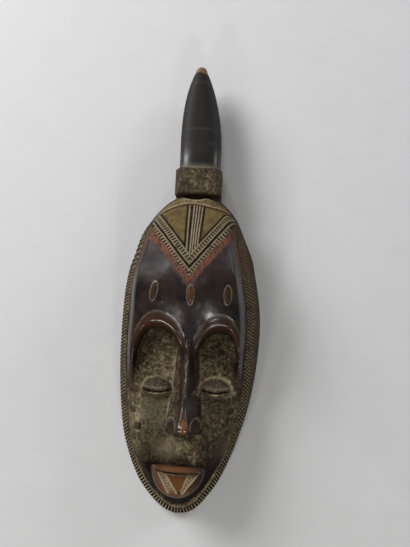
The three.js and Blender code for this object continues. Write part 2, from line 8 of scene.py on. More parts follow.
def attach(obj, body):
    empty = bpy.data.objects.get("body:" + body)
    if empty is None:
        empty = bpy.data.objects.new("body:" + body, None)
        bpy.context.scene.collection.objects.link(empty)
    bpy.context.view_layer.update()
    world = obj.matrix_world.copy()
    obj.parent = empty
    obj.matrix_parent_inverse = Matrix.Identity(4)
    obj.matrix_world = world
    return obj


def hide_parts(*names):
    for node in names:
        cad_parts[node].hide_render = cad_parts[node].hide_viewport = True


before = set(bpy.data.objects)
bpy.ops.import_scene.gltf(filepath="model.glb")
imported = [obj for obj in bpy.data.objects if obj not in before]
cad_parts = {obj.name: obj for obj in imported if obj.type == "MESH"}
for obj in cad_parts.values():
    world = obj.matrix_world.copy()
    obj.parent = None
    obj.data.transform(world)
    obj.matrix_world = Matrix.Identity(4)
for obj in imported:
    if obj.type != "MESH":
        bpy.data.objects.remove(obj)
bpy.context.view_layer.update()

# The camera hangs over the mask and looks down on it, from a little towards the chin and to the
# right, and is rolled so that the horn leans to the right in the picture.
CAMERA_PLACE = Vector((0.03993, -0.05291, 0.65179))
CAMERA_TARGET = Vector((0.01300, 0.01192, 0.03500))
CAMERA_ROLL = math.radians(2.83)
PICTURE_HEIGHT = 547
FOCAL_LENGTH_IN_PIXELS = 632

camera = bpy.data.cameras.new("camera")
camera.sensor_width = 36
camera.lens = FOCAL_LENGTH_IN_PIXELS / PICTURE_HEIGHT * camera.sensor_width
camera.clip_start = 0.01
camera_object = bpy.data.objects.new("camera", camera)
bpy.context.collection.objects.link(camera_object)
view = (CAMERA_TARGET - CAMERA_PLACE).normalized()
level_up = (Vector((0, 1, 0)) - view * view.y).normalized()
level_right = view.cross(level_up)
right = level_right * math.cos(CAMERA_ROLL) + level_up * math.sin(CAMERA_ROLL)
turned = Matrix((right, right.cross(view), -view)).transposed().to_4x4()
turned.translation = CAMERA_PLACE
camera_object.matrix_world = turned
bpy.context.scene.camera = camera_object


# The floor is a large sheet of board that the mask lies on, rolled with pale grey paint: matt, and
# very faintly mottled by the roller.
FLOOR_SIZE = 8.0
FLOOR_COLOURS = ("#d9d9d8", "#dfdfde")
FLOOR_MOTTLE = 30
FLOOR_ROUGHNESS = 0.85


def linear(hex_colour):
    """An sRGB hex colour as the linear RGBA that a shader takes."""
    def to_linear(value):
        return value / 12.92 if value <= 0.04045 else ((value + 0.055) / 1.055) ** 2.4
    return (*(to_linear(int(hex_colour[i:i + 2], 16) / 255) for i in (1, 3, 5)), 1.0)


def new_material(name):
    """A material with an empty node tree but for its output."""
    material = bpy.data.materials.new(name)
    material.use_nodes = True
    tree = material.node_tree
    tree.nodes.clear()
    output = tree.nodes.new("ShaderNodeOutputMaterial")
    return material, tree, output


def node(tree, kind, inputs=None, **settings):
    """Adds a shader node with its settings. Each input is a value, or a node or an output to link."""
    made = tree.nodes.new("ShaderNode" + kind)
    for name, value in settings.items():
        setattr(made, name, value)
    for name, value in (inputs or {}).items():
        if isinstance(value, bpy.types.Node):
            value = value.outputs[0]
        if isinstance(value, bpy.types.NodeSocket):
            tree.links.new(value, made.inputs[name])
        else:
            made.inputs[name].default_value = value
    return made


def scale_of(millimetres):
    """The scale, in metres, of a pattern that repeats about every so many millimetres."""
    return 1000 / millimetres


floor_material, tree, output = new_material("painted_board")
place = node(tree, "TexCoord").outputs["Object"]
mottle = node(tree, "TexNoise", {"Vector": place, "Scale": scale_of(FLOOR_MOTTLE), "Detail": 4.0})
colour = node(tree, "Mix", {
    0: mottle, 6: linear(FLOOR_COLOURS[0]), 7: linear(FLOOR_COLOURS[1])}, data_type="RGBA")
board = node(tree, "BsdfPrincipled", {"Base Color": colour.outputs[2], "Roughness": FLOOR_ROUGHNESS})
tree.links.new(board.outputs[0], output.inputs[0])

floor_mesh = bpy.data.meshes.new("floor")
half = FLOOR_SIZE / 2
corners = [(-half, -half, 0), (half, -half, 0), (half, half, 0), (-half, half, 0)]
floor_mesh.from_pydata(corners, [], [(0, 1, 2, 3)])
floor_mesh.materials.append(floor_material)
floor = bpy.data.objects.new("floor", floor_mesh)
bpy.context.collection.objects.link(floor)


# Studio light: a soft square low on the left of the horn, a weaker one low on its right, two small ones
# beyond the chin that draw the highlights on the brows and above them, and one overhead that draws the
# highlight along the nose.
SURROUND_COLOUR, SURROUND_STRENGTH = "#f2f3f4", 0.165
LIGHTS = (
    ("key", (-1.13, 0.94, 0.90), (0.0, 0.05, 0.03), (0.85, 0.85), 27.5, "#fdfcff"),
    ("second", (1.15, 0.95, 0.58), (0.0, 0.05, 0.03), (0.5, 0.5), 6.0, "#fdfcff"),
    ("front_left", (-0.48, -1.15, 0.66), (0.0, -0.05, 0.03), (0.14, 0.14), 2.6, "#fffefb"),
    ("front_right", (0.36, -1.10, 0.78), (0.0, -0.05, 0.03), (0.14, 0.14), 2.2, "#fffefb"),
    ("overhead", (-0.14, 0.22, 1.60), (0.0, 0.0, 0.03), (0.18, 0.18), 1.4, "#ffffff"),
)

world = bpy.data.worlds.new("surround")
bpy.context.scene.world = world
world.use_nodes = True
background = world.node_tree.nodes["Background"]
background.inputs["Color"].default_value = linear(SURROUND_COLOUR)
background.inputs["Strength"].default_value = SURROUND_STRENGTH
for name, at, towards, size, power, colour_of_light in LIGHTS:
    light = bpy.data.lights.new(name, "AREA")
    light.shape = "RECTANGLE"
    light.size, light.size_y = size
    light.energy = power
    light.color = linear(colour_of_light)[:3]
    light_object = bpy.data.objects.new(name, light)
    bpy.context.collection.objects.link(light_object)
    light_object.location = at
    light_object.rotation_euler = (Vector(towards) - Vector(at)).to_track_quat("-Z", "Y").to_euler()
bpy.context.scene.view_settings.view_transform = "Standard"


# The mask is carved from one piece of wood: a long oval face under a high forehead, hollow behind,
# with a notched rim, an incised coiffure, and a block with a tall horn above the crown. Everything
# here is in millimetres, as x and as up, the distance from the tip of the chin.
LENGTH = 450
CENTRE = (1.346, 0.0115)
WIDEST_HALF, WIDEST_UP = 70.5, 181
CROWN_TOP = 321
MIDDLE = ((0, -1.5), (25, -3.6), (70, -3.2), (105, -1), (140, 0.4), (190, 1.4), (238, 0), (256, 0.8),
          (275, 0), (290, 1.4), (312, 2.2))
CURVE_BELOW, CURVE_ABOVE, CURVE_ACROSS = 1.95, 2.15, 2
HALF_WIDTH = ((0, 70.5), (11, 68.3), (30, WIDEST_HALF))


def mix(a, b, t):
    return a + (b - a) * t


def smooth(start, end, value):
    t = np.clip((value - start) / (end - start), 0, 1)
    return t * t * (3 - 2 * t)


def dome(r):
    return np.sqrt(np.clip(1 - r * r, 0, None))


def bump(distance, width):
    """1 where the distance is nothing, falling away over the width."""
    return np.exp(-(distance / width) ** 2)


def round_over(distance, run, power=2.6):
    """0 at the edge of a form and 1 once it is `run` in from there."""
    return 1 - (1 - np.clip(distance / run, 0, 1)) ** power


def through(pairs, place):
    """A smooth curve through a few (place, value) pairs."""
    p, v = np.array(pairs, float).T
    slopes = np.empty(len(p))
    slopes[1:-1] = (v[2:] - v[:-2]) / (p[2:] - p[:-2])
    slopes[0], slopes[-1] = (v[1] - v[0]) / (p[1] - p[0]), (v[-1] - v[-2]) / (p[-1] - p[-2])
    place = np.clip(place, p[0], p[-1])
    i = np.clip(np.searchsorted(p, place, "right") - 1, 0, len(p) - 2)
    span = p[i + 1] - p[i]
    t = (place - p[i]) / span
    start = v[i] * (1 + 2 * t) * (1 - t) ** 2 + slopes[i] * span * t * (1 - t) ** 2
    return start + v[i + 1] * t * t * (3 - 2 * t) - slopes[i + 1] * span * t * t * (1 - t)


LATTICE = 96
LATTICE_START = (40, 12)


def waver(x, up, size, seed):
    """A hand's unsteadiness: a smooth random field from -1 to 1 whose bumps are about `size` wide."""
    lattice = np.random.default_rng(seed).uniform(-1, 1, (LATTICE, LATTICE))
    column, row = np.asarray(x) / size + LATTICE_START[0], np.asarray(up) / size + LATTICE_START[1]
    i, j = np.floor(column).astype(int), np.floor(row).astype(int)
    s, t = column - i, row - j
    s, t = s * s * (3 - 2 * s), t * t * (3 - 2 * t)
    low, high = ([lattice[(j + b) % LATTICE, (i + a) % LATTICE] for a in (0, 1)] for b in (0, 1))
    return mix(mix(*low, s), mix(*high, s), t)


def outline_level(x, up):
    """1 on the outline, less inside it."""
    below = up < WIDEST_UP
    reach = np.where(below, WIDEST_UP, CROWN_TOP - WIDEST_UP)
    along = np.where(below, CURVE_BELOW, CURVE_ABOVE)
    across = np.abs(x - through(MIDDLE, up)) / through(HALF_WIDTH, up)
    return across ** CURVE_ACROSS + (np.abs(up - WIDEST_UP) / reach) ** along


def outline_slope(x, up, step=0.05):
    return ((outline_level(x + step, up) - outline_level(x - step, up)) / (2 * step),
            (outline_level(x, up + step) - outline_level(x, up - step)) / (2 * step))


def distance_in(x, up, least_slope=0.004):
    return (1 - outline_level(x, up)) / np.maximum(least_slope, np.hypot(*outline_slope(x, up)))


def find_inset(point_at, distance, shape, halvings=34):
    """Where each line from inside the face to its outline is `distance` in from the outline."""
    inside, outside = np.zeros(shape), np.ones(shape)
    for _ in range(halvings):
        t = (inside + outside) / 2
        x, up = point_at(t)
        within = distance_in(x, up) > distance(x, up)
        inside, outside = np.where(within, t, inside), np.where(within, outside, t)
    return point_at(inside)


# The rim: a sloping flange left all round the face when the face was cut down inside it. It is cut
# along its whole length with slanting strokes, and is widest at the sides and narrow over the crown.
CROWN_EDGE = (250, 296)
RIM_HEIGHT = {"chin": 9, "side": 30, "crown": 27, "from": 15, "to": 165}
RIM_FALL = {"chin": 2.5, "side": 4, "from": 30, "to": 150}
SPREAD = {"chin": 0.6, "left": 3, "right": 8, "crown": 1.5, "from": 60, "to": 170}
STROKE = {"side": 5.5, "crown": 1.5, "pitch": 3.3, "depth": 1.3}
FILLET = {"side": 2.2, "crown": 0.44}


def crown_part(up):
    return smooth(*CROWN_EDGE, up)


def growing(size, side, up):
    return mix(size["chin"], side, smooth(size["from"], size["to"], up))


def spread(x, up):
    side = np.where(x < through(MIDDLE, up), SPREAD["left"], SPREAD["right"])
    return mix(growing(SPREAD, side, up), SPREAD["crown"], crown_part(up))


def stroke_width(up):
    return mix(STROKE["side"], STROKE["crown"], crown_part(up))


def fillet_width(up):
    return mix(FILLET["side"], FILLET["crown"], crown_part(up))


def rim_inner(x, up):
    return spread(x, up) + stroke_width(up) + fillet_width(up)


def rim_height(up):
    return mix(growing(RIM_HEIGHT, RIM_HEIGHT["side"], up), RIM_HEIGHT["crown"], crown_part(up))


def rim_fall(up):
    return growing(RIM_FALL, RIM_FALL["side"], up)


# The broad forms, hewn before any detail: the domed forehead, the face set back below it, the two
# sockets cut in under the brows, and the nose that runs down between them. Where the nose meets the
# brows, the blade has left a small hollow curve.
FOREHEAD = ((112, 32), (130, 38), (150, 45), (170, 53), (185, 61), (200, 69.5), (212, 74.5), (224, 76.2),
            (240, 75), (262, 67), (285, 56.5), (303, 47), (323, 37))
FOREHEAD_RUN = (14, 11)
CROWNING = {"temples": -0.0015, "dome": 0.005, "from": 160, "to": 205}
FACE = ((8, 40), (24, 51), (48, 51), (60, 54), (84, 50), (104, 46), (128, 42.5), (160, 40.5), (200, 43))
CHEEK_RUN = 18.5
CHEEK_FULLNESS = ((8, 1.25), (30, 1.35), (60, 2.2), (84, 2.6))
CHIN_LEDGE = {"width": 2.4, "from": 20, "to": 80}
SOCKETS = (
    {"x": -30, "up": 196, "temple": (24.8, 56), "nose": (31, 42)},
    {"x": 33.7, "up": 194.3, "temple": (22.4, 48), "nose": (30, 50)},
)
BROW = {"side": 6, "top": 14, "crest": 0.45, "slope": 0.06, "roundness": (2.8, 0.6)}
BROWS_FROM = 100
NOSE_X = 2.4
NOSE_FLAT = {"tip": (4.6, 88), "bridge": (1.7, 108)}
NOSE_HALF = ((84, 17), (101, 16.6), (115, 15), (137, 12.8), (156, 11.6), (176, 10))
NOSE_RISE = ((84, 22), (92, 26), (110, 20.5), (130, 18.5), (155, 17.5), (176, 18))
NOSE_ROOT = (164, 184)
NOSE_BASE, NOSE_ROUND, NOSE_FLANK = 83.0, 6.0, 1.15
JOIN = {"width": 3.0, "share": 0.2, "rise": 4}


def forehead_height(x, up):
    edge = rim_height(up)
    run = mix(*FOREHEAD_RUN, crown_part(up))
    crowning = mix(CROWNING["temples"], CROWNING["dome"], smooth(CROWNING["from"], CROWNING["to"], up))
    top = through(FOREHEAD, up) - crowning * (x - NOSE_X) ** 2
    return edge + (top - edge) * round_over(distance_in(x, up) - rim_inner(x, up), run)


def face_height(x, up):
    edge = rim_height(up)
    ledge = CHIN_LEDGE["width"] * (1 - smooth(CHIN_LEDGE["from"], CHIN_LEDGE["to"], up))
    inward = distance_in(x, up) - rim_inner(x, up) - ledge
    return edge + (through(FACE, up) - edge) * round_over(inward, CHEEK_RUN, through(CHEEK_FULLNESS, up))


def socket_reach(x, socket):
    """How far a socket runs out from its middle, and how far its arch falls, on the side of each x."""
    temple = (x < socket["x"]) == (socket["x"] < 0)
    return [np.where(temple, *sizes) for sizes in zip(socket["temple"], socket["nose"])]


def socket_inward(x, up, socket):
    """How far inside a socket's arch a place lies, and how far the arch faces up there."""
    run, fall = socket_reach(x, socket)
    across = (x - socket["x"]) / run
    along = np.maximum(0, up - (socket["up"] - fall)) / fall
    level = np.hypot(across, along)
    steepness = np.maximum(1e-4, np.hypot(across / run, along / fall))
    return (1 - level) * np.maximum(level, 1e-4) / steepness, along / fall / steepness


def brow_band(x, up, socket):
    """0 on the edge of a socket's arch, 1 where the rounded brow meets the floor of the socket."""
    inward, upright = socket_inward(x, up, socket)
    return inward / mix(BROW["side"], BROW["top"], upright ** 2), upright


def brow_share(x, up, socket):
    """1 on the forehead, 0 on the floor of the socket."""
    band = np.clip(brow_band(x, up, socket)[0], 0, 1)
    over = np.clip((band - BROW["crest"]) / (1 - BROW["crest"]), 0, 1)
    fullness, roundness = BROW["roundness"]
    return (1 - BROW["slope"] * np.minimum(1, band / BROW["crest"])) * (1 - over ** fullness) ** roundness


def nose_rise(x, up):
    half = through(NOSE_HALF, up)
    (tip, tip_up), (bridge, bridge_up) = NOSE_FLAT["tip"], NOSE_FLAT["bridge"]
    flat = mix(tip, bridge, smooth(tip_up, bridge_up, up))
    flank = np.clip((np.abs(x - NOSE_X) - flat) / (half - flat), 0, 1)
    base = dome(1 - np.clip((up - NOSE_BASE) / NOSE_ROUND, 0, 1))
    return through(NOSE_RISE, up) * base * (1 - smooth(*NOSE_ROOT, up)) * (1 - flank) ** NOSE_FLANK


def broad_front(x, up):
    face = face_height(x, up)
    share = np.minimum(*(brow_share(x, up, socket) for socket in SOCKETS))
    share = np.where(up > BROWS_FROM, share, 0)
    brow = np.maximum(0, forehead_height(x, up) - face) * share
    nose = nose_rise(x, up)
    hollow = np.maximum(0, JOIN["width"] - np.abs(brow - nose)) ** 2 / (4 * JOIN["width"])
    hollow = hollow * smooth(0, JOIN["share"], share) * smooth(0, JOIN["rise"], nose)
    return face + np.maximum(brow, nose) + hollow


# The small forms are cut into the front with a small blade, one after another. Each function takes the
# place and the height there, and returns the height with its form cut in. It also marks, from 0 to 1,
# where the finish differs from plain dark wood.
# The darkening finish is dirt in the grooves, and also painted shade where shade falls: along the foot of
# each brow, in the eye slits and under the lower rolls, under the nostrils and the lip, on the walls below
# the mouth and at the chin, in the neck under the block and between the chin's teeth. The pale line finish is
# dust on fine ridges, and also a painted highlight along each eyelid's lip and a painted sheen on the muzzle.
FINISHES = {
    "wear": "rubbed through to orange wood", "crust": "dry ochre earth", "line": "pale dust on a fine ridge",
    "dark": "dirt in a groove", "red": "red earth pigment", "panel": "ochre paint", "horn": "greyer wood",
    "polish": "smoothed by hands and oil",
}


def mark(finish, **amounts):
    """Lays each finish on at least as strongly as its amount."""
    for name, amount in amounts.items():
        finish[name] = np.maximum(finish[name], np.clip(amount, 0, 1))


def oval(x, up, middle, size):
    """0 in the middle of an oval, 1 on its edge."""
    return np.hypot((x - middle[0]) / size[0], (up - middle[1]) / size[1])


# The brow ridges: a rounded edge over each socket, rubbed by hands, with a shallow line cut along its
# top and painted shade along its foot, where the ridge turns under. The floor of the socket has kept its dry
# earth.
BROW_LINE = {"out": 0.6, "width": 0.9, "depth": 0.4, "fade": (110, 130)}
BROW_BEAD = {"at": 0.5, "width": 0.33, "rise": 1.4}
BROW_WEAR_FADE, SOCKET_FADE = (104, 130), (95, 120)


def carve_brows(x, up, z, finish):
    for socket in SOCKETS:
        band, upright = brow_band(x, up, socket)
        inward, _ = socket_inward(x, up, socket)
        over_eye = smooth(0.10, 0.60, upright)
        lift = over_eye * smooth(*BROW_LINE["fade"], up)
        z = z - BROW_LINE["depth"] * bump(inward + BROW_LINE["out"], BROW_LINE["width"]) * lift
        z = z + BROW_BEAD["rise"] * bump((band - BROW_BEAD["at"]) / BROW_BEAD["width"], 1) * over_eye
        worn = 0.30 * smooth(-0.3, 0.15, band) + 0.22 * smooth(0.15, 0.8, band)
        worn = worn * (1 - smooth(0.92, 1.04, band)) * mix(1.0, 0.7, smooth(0, 10, x))
        floor_of_socket = smooth(0.85, 1.15, band) * smooth(*SOCKET_FADE, up)
        # The darkening along the band's foot is painted shade under the brow's turn.
        mark(finish, line=0.20 * bump(inward + 0.1, 0.7) * lift,
             wear=worn * mix(0.25, 1.0, over_eye) * smooth(*BROW_WEAR_FADE, up),
             dark=0.5 * bump((band - 1.03) / 0.12, 1) * smooth(0.0, 0.4, upright),
             crust=0.55 * floor_of_socket)
        finish["polish"] *= 1 - 0.85 * floor_of_socket
    return z


# The nose: a long straight ridge with pale edges where it meets the face. It is rubbed orange at the
# tip, in the shape of a flame, and lightly along the ridge. Its left flank has kept some earth.
NOSE_EDGE = {"from": (96, 104), "to": (150, 165), "width": 0.8, "rise": 0.2}
NOSE_SKIN = {"from": (82, 86), "to": (150, 170)}
NOSE_TIP = {"middle": (3.0, 91.5), "size": (4.6, 6.0), "rise": 1.2}
FLAME = {"middle": (3.0, 91), "above": (4.8, 15), "below": (5.6, 8)}
RIDGE_WEAR = {"half": (1.5, 3.5), "from": (96, 110), "to": (150, 185)}


def carve_nose(x, up, z, finish):
    from_middle = np.abs(x - NOSE_X)
    side = from_middle - through(NOSE_HALF, up)
    left = smooth(NOSE_X - 1, NOSE_X - 4, x)
    along = smooth(*NOSE_EDGE["from"], up) * (1 - smooth(*NOSE_EDGE["to"], up))
    edge = bump(side - 0.3, NOSE_EDGE["width"]) * along
    on_nose = smooth(*NOSE_SKIN["from"], up) * (1 - smooth(*NOSE_SKIN["to"], up))
    on_nose = on_nose * (1 - smooth(-1.5, 0.5, side))
    finish["crust"] *= 1 - on_nose
    finish["polish"] = mix(finish["polish"], 0.95, on_nose)
    base = bump(up - NOSE_BASE - 0.2 + 0.6 * waver(x, up, 5, 5), 0.8) * (1 - smooth(15, 18, from_middle))
    flame = oval(x, up, FLAME["middle"], [np.where(up > FLAME["middle"][1], above, below)
                                          for above, below in zip(FLAME["above"], FLAME["below"])])
    ridge = 1 - smooth(*RIDGE_WEAR["half"], from_middle)
    ridge = ridge * smooth(*RIDGE_WEAR["from"], up) * (1 - smooth(*RIDGE_WEAR["to"], up))
    mark(finish, crust=on_nose * mix(0.16, 0.36, left) * smooth(3.5, 8, from_middle),
         line=np.maximum(mix(0.30, 0.42, left) * edge, 0.42 * base),
         wear=np.maximum(0.8 * (1 - smooth(0.35, 1.15, flame)), 0.16 * ridge))
    z = z + NOSE_EDGE["rise"] * edge
    return z + NOSE_TIP["rise"] * bump(oval(x, up, NOSE_TIP["middle"], NOSE_TIP["size"]), 0.75)


# The nostrils: two domed wings beside the tip, rubbed at their lower ends, each with a dimple and a
# pale ring round its upper half, and painted shade just under its lower edge.
NOSTRILS = ({"middle": (-9.7, 92.0), "dust": 0.34}, {"middle": (13.7, 92.3), "dust": 0.5})
NOSTRIL = {"half": 4.8, "length": 7.4, "rise": 8.5, "rim": 0.6, "dimple": 1.6}


def carve_nostrils(x, up, z, finish):
    face = face_height(x, up)
    for nostril in NOSTRILS:
        middle_x, middle_up = nostril["middle"]
        across, along = (x - middle_x) / NOSTRIL["half"], (up - middle_up) / NOSTRIL["length"]
        r = np.hypot(across, along)
        z = np.where(r < 1, np.maximum(z, face + NOSTRIL["rise"] * np.sqrt(dome(np.minimum(r, 1)))), z)
        z = z + NOSTRIL["rim"] * bump(r - 0.92, 0.11)
        z = z - NOSTRIL["dimple"] * bump(np.hypot(across, along + 0.2), 0.55)
        inside = 1 - smooth(0.65, 0.95, r)
        finish["crust"] *= 1 - 0.9 * inside
        finish["wear"] *= 1 - inside
        finish["polish"] = mix(finish["polish"], 0.5, inside)
        ring = bump(r - 0.97, 0.09) * smooth(-0.7, 0.1, along)
        # Painted shade is laid just under each wing's lower edge.
        mark(finish, wear=inside * mix(0.28, 0.08, smooth(-0.7, 0.4, along)), line=nostril["dust"] * ring,
             dark=0.35 * bump(r - 1.12, 0.09) * smooth(-0.9, -0.2, along))
    return z


# The eyes: a swollen upper lid that hangs over a closed slit, with a roll under it. Earth lies round
# each eye and along the lid's lip, and the ring cut round the eye is pale. The slit and the crease under
# the roll are darkened with painted shade, and a pale painted highlight runs along the lid's lip.
EYES = ({"middle": (-26, 123.8), "earth": 0.75, "dust": 0.26},
        {"middle": (30.3, 124.8), "earth": 0.9, "dust": 0.46})
EYE = {"half": 14.0, "lid": 11.4, "underlid": 6.6, "rise": 6.0, "sag": 2.4, "crest": 0.36, "lip": 3.6,
       "slit": 1.4, "crease": 0.9}


def carve_eyes(x, up, z, finish):
    face = face_height(x, up)
    for eye in EYES:
        eye_x, eye_up = eye["middle"]
        across = (x - eye_x) / EYE["half"]
        width = dome(np.clip(across, -1, 1))
        inside = np.abs(across) < 1
        slit_up = eye_up - EYE["sag"] * width ** 2
        above = np.clip((up - slit_up) / np.maximum(0.3, eye_up + EYE["lid"] * width - slit_up), 0, 1)
        under = np.clip((slit_up - up) / np.maximum(0.3, slit_up - (eye_up - EYE["underlid"] * width)), 0, 1)
        crest = np.where(above > EYE["crest"], (above - EYE["crest"]) / (1 - EYE["crest"]),
                         0.8 * (1 - above / EYE["crest"]))
        roll = dome(np.clip(2.1 * under - 1.1, -1, 1))
        lid = EYE["rise"] * np.sqrt(width) * dome(crest)
        underlid = EYE["rise"] * np.sqrt(width) * (0.1 + 0.72 * roll) * (under < 0.99)
        mound = np.where(up > slit_up, lid, underlid)
        z = np.where(inside & (mound > 0), np.maximum(z, face + mound), z)
        lip = bump(up - slit_up - EYE["lip"], 1.1) * inside * width
        slit = bump(up - slit_up + 0.1, 0.5) * inside * np.sqrt(width)
        crease = bump(under - 1.05, 0.12) * inside * np.sqrt(width)
        z = z - EYE["slit"] * slit - EYE["crease"] * crease
        height = np.where(up > eye_up, EYE["lid"], EYE["underlid"])
        r = np.hypot(across, (up - eye_up) / height)
        ring = (r - 1) * height
        on_lid = 1 - smooth(0.82, 1.0, r)
        finish["crust"] = mix(finish["crust"], mix(0.45, 0.28, smooth(0.25, 0.7, above)), on_lid)
        finish["polish"] = mix(finish["polish"], 0.55, on_lid)
        # Painted shade in the slit, and earth and a pale painted highlight along the lid's lip.
        mark(finish, crust=0.6 * lip, dark=0.9 * slit, line=0.22 * lip)
        # Earth on the lower roll, painted shade in the crease under it, and the pale ring round the eye.
        mark(finish, crust=0.8 * inside * bump(under - 0.5, 0.3) * width, dark=0.75 * crease,
             line=eye["dust"] * np.where(up > eye_up, 1.0, 0.7) * bump(ring - 0.6, 0.7))
        mark(finish, crust=eye["earth"] * bump(ring - 1.6, 2.2))
    return z


# The mouth: a crescent that stands out from the chin, with a rubbed band round its lower edge under a
# rounded lip. Fine raised lines cross it, with two strips of small cells, a notch and a dark triangle
# between them. Painted shade darkens the groove under the lip, the top of the triangle and the steep
# wall below the crescent, and the lip and band are darker towards their right ends with painted shade.
MOUTH = {"x": -1.0, "half": 24.0, "up": 53.6, "drop": 25.4, "high": 60, "low": 52, "lean": -0.03,
         "roundness": (2.1, 1.85), "band": (4.6, 3.2)}
MOUTH_EDGE = {"in": 3.0, "width": 5.6, "fall": 13}
LIP = {"up": 55.2, "thick": 6.4, "rise": 4.6, "out": 1.2, "groove": 0.9}
MOUTH_LINES = (((9.6, 49.0), (3.3, 32.6)), ((19.5, 50.4), (4.4, 31.2)), ((-12.4, 47.2), (-0.6, 31.6)),
               ((-19.3, 48.9), (-8.2, 31.4)))
MOUTH_LINE = {"half": 0.62, "rise": 0.45, "top_rise": 0.3, "top_end": (18.5, 16.5)}
MOUTH_CELL = {"along": 24, "slant": 0.35, "pitch": 3.1, "depth": 0.4}
MOUTH_NOTCH = {"middle": (-1.4, 47.6), "size": (1.5, 1.6), "depth": 1.5}
RED_SPOT = {"middle": (-17, 36), "half": 1.8}


def beside(x, up, line):
    """How far a place lies to the left of a line, and its share of the way along it."""
    (x0, up0), (x1, up1) = line
    size = math.hypot(x1 - x0, up1 - up0)
    return (((x - x0) * (up1 - up0) - (up - up0) * (x1 - x0)) / size,
            ((x - x0) * (x1 - x0) + (up - up0) * (up1 - up0)) / size ** 2)


def carve_mouth(x, up, z, finish):
    flat_up = up - MOUTH["lean"] * (x - MOUTH["x"])
    plane = mix(MOUTH["high"], MOUTH["low"], (flat_up - MOUTH["up"] + MOUTH["drop"]) / MOUTH["drop"])
    power = np.where(x < MOUTH["x"], *MOUTH["roundness"])
    across = np.abs(x - MOUTH["x"]) / MOUTH["half"]
    down = np.maximum(0, MOUTH["up"] - flat_up) / MOUTH["drop"]
    r = np.maximum(1e-3, (across ** power + down ** power) ** (1 / power))
    steepness = np.hypot((across / r) ** (power - 1) / MOUTH["half"],
                         (down / r) ** (power - 1) / MOUTH["drop"])
    inward = (1 - r) / np.maximum(steepness, 1e-3)
    lower = smooth(MOUTH["up"] + 0.6, MOUTH["up"] - 0.6, flat_up)
    edge = np.clip((MOUTH_EDGE["in"] - inward) / MOUTH_EDGE["width"], 0, 1)
    crescent = np.where(edge < 1, plane - MOUTH_EDGE["fall"] * (1 - dome(edge)), -50)
    z = np.where(flat_up < MOUTH["up"] + 1, np.maximum(z, mix(z, crescent, lower)), z)

    lip_across = np.clip((x - MOUTH["x"]) / MOUTH["half"], -1, 1)
    thick = LIP["thick"] * dome(lip_across) ** 0.6
    t = (LIP["up"] - flat_up) / np.maximum(thick, 0.2)
    roll = dome(np.clip(2 * t - 1, -1, 1))
    on_lip = (t > 0) & (t < 1) & (np.abs(lip_across) < 1)
    lip = plane + LIP["out"] + LIP["rise"] * roll ** 0.8 * dome(lip_across) ** 0.35
    z = np.where(on_lip, np.maximum(z, lip), z)
    groove = bump(t - 1.07, 0.06) * (np.abs(lip_across) < 0.95)
    z = z - LIP["groove"] * groove
    # The lip's wear fades towards its right end, which is painted shade on that side, and the groove below
    # the lip is darkened with painted shade.
    mark(finish, wear=on_lip * smooth(0.0, 0.7, roll) * mix(0.85, 0.5, smooth(4, 20, x)), dark=0.5 * groove)

    band_width = np.where(x < MOUTH["x"], *MOUTH["band"])
    band = lower * smooth(-2.2, -0.4, inward) * (1 - smooth(band_width - 0.6, band_width + 0.8, inward))
    near_mouth = smooth(-9, -5, inward) * (flat_up < MOUTH["up"] + 2)
    inner = lower * smooth(4.0, 5.5, inward) * smooth(1.1, 1.3, t)
    finish["polish"] = mix(finish["polish"], 0.85, np.maximum(band, on_lip))
    finish["crust"] *= 1 - 0.92 * near_mouth * (1 - smooth(3.5, 5.5, inward) * lower)
    # The band's wear fades towards the right, which is painted shade on the side turned from the light, and
    # the steep wall under the crescent is darkened with painted shade.
    mark(finish, wear=band * mix(1.05, 0.5, smooth(2, 18, x)), crust=0.20 * inner,
         dark=lower * smooth(-10, -3.5, inward) * (1 - smooth(-3.0, -0.8, inward)) * 0.7)
    mark(finish, wear=inner)

    distances = [beside(x, up, line) for line in MOUTH_LINES]
    for aside, share in distances:
        ends = smooth(-0.04, 0.0, share) * smooth(1.04, 1.0, share)
        stroke = bump(aside, MOUTH_LINE["half"]) * ends * lower
        z = z + MOUTH_LINE["rise"] * stroke
        mark(finish, line=0.9 * stroke)
    top_line = bump(t - 1.27, 0.10) * smooth(*MOUTH_LINE["top_end"], np.abs(x - MOUTH["x"])) * lower
    z = z + MOUTH_LINE["top_rise"] * top_line
    mark(finish, line=0.85 * top_line)
    for outer_line, inner_line, turn in ((1, 0, 1), (3, 2, -1)):
        (outer, share), inner_side = distances[outer_line], distances[inner_line][0]
        between = smooth(0.4, 1.0, turn * outer) * smooth(0.4, 1.0, -turn * inner_side) * lower
        between = between * smooth(0.0, 0.06, share) * smooth(1.0, 0.9, share) * smooth(1.2, 1.35, t)
        along = (share * MOUTH_CELL["along"] + MOUTH_CELL["slant"] * inner_side) / MOUTH_CELL["pitch"]
        cell = smooth(0.35, 0.7, 0.5 + 0.5 * np.cos(2 * math.pi * along))
        z = z - MOUTH_CELL["depth"] * between * cell
        mark(finish, dark=0.55 * between * cell, line=0.55 * between * (1 - cell))
    notch = bump(oval(x, up, MOUTH_NOTCH["middle"], MOUTH_NOTCH["size"]), 0.8)
    z = z - MOUTH_NOTCH["depth"] * notch
    mark(finish, dark=notch)

    triangle = smooth(0.8, 1.6, distances[0][0]) * smooth(0.8, 1.6, -distances[2][0]) * inner * (t > 1.4)
    finish["crust"] *= 1 - 0.6 * triangle
    red_spot = bump(oval(x, up, RED_SPOT["middle"], (1, 1)), RED_SPOT["half"])
    # The triangle is darker brown, and darker still towards its top with painted shade under the lip.
    mark(finish, line=0.22 * inner * (1 - triangle), red=0.8 * red_spot,
         dark=triangle * mix(0.15, 0.5, smooth(36, 45, up)) * (1 - 0.8 * top_line))
    return z


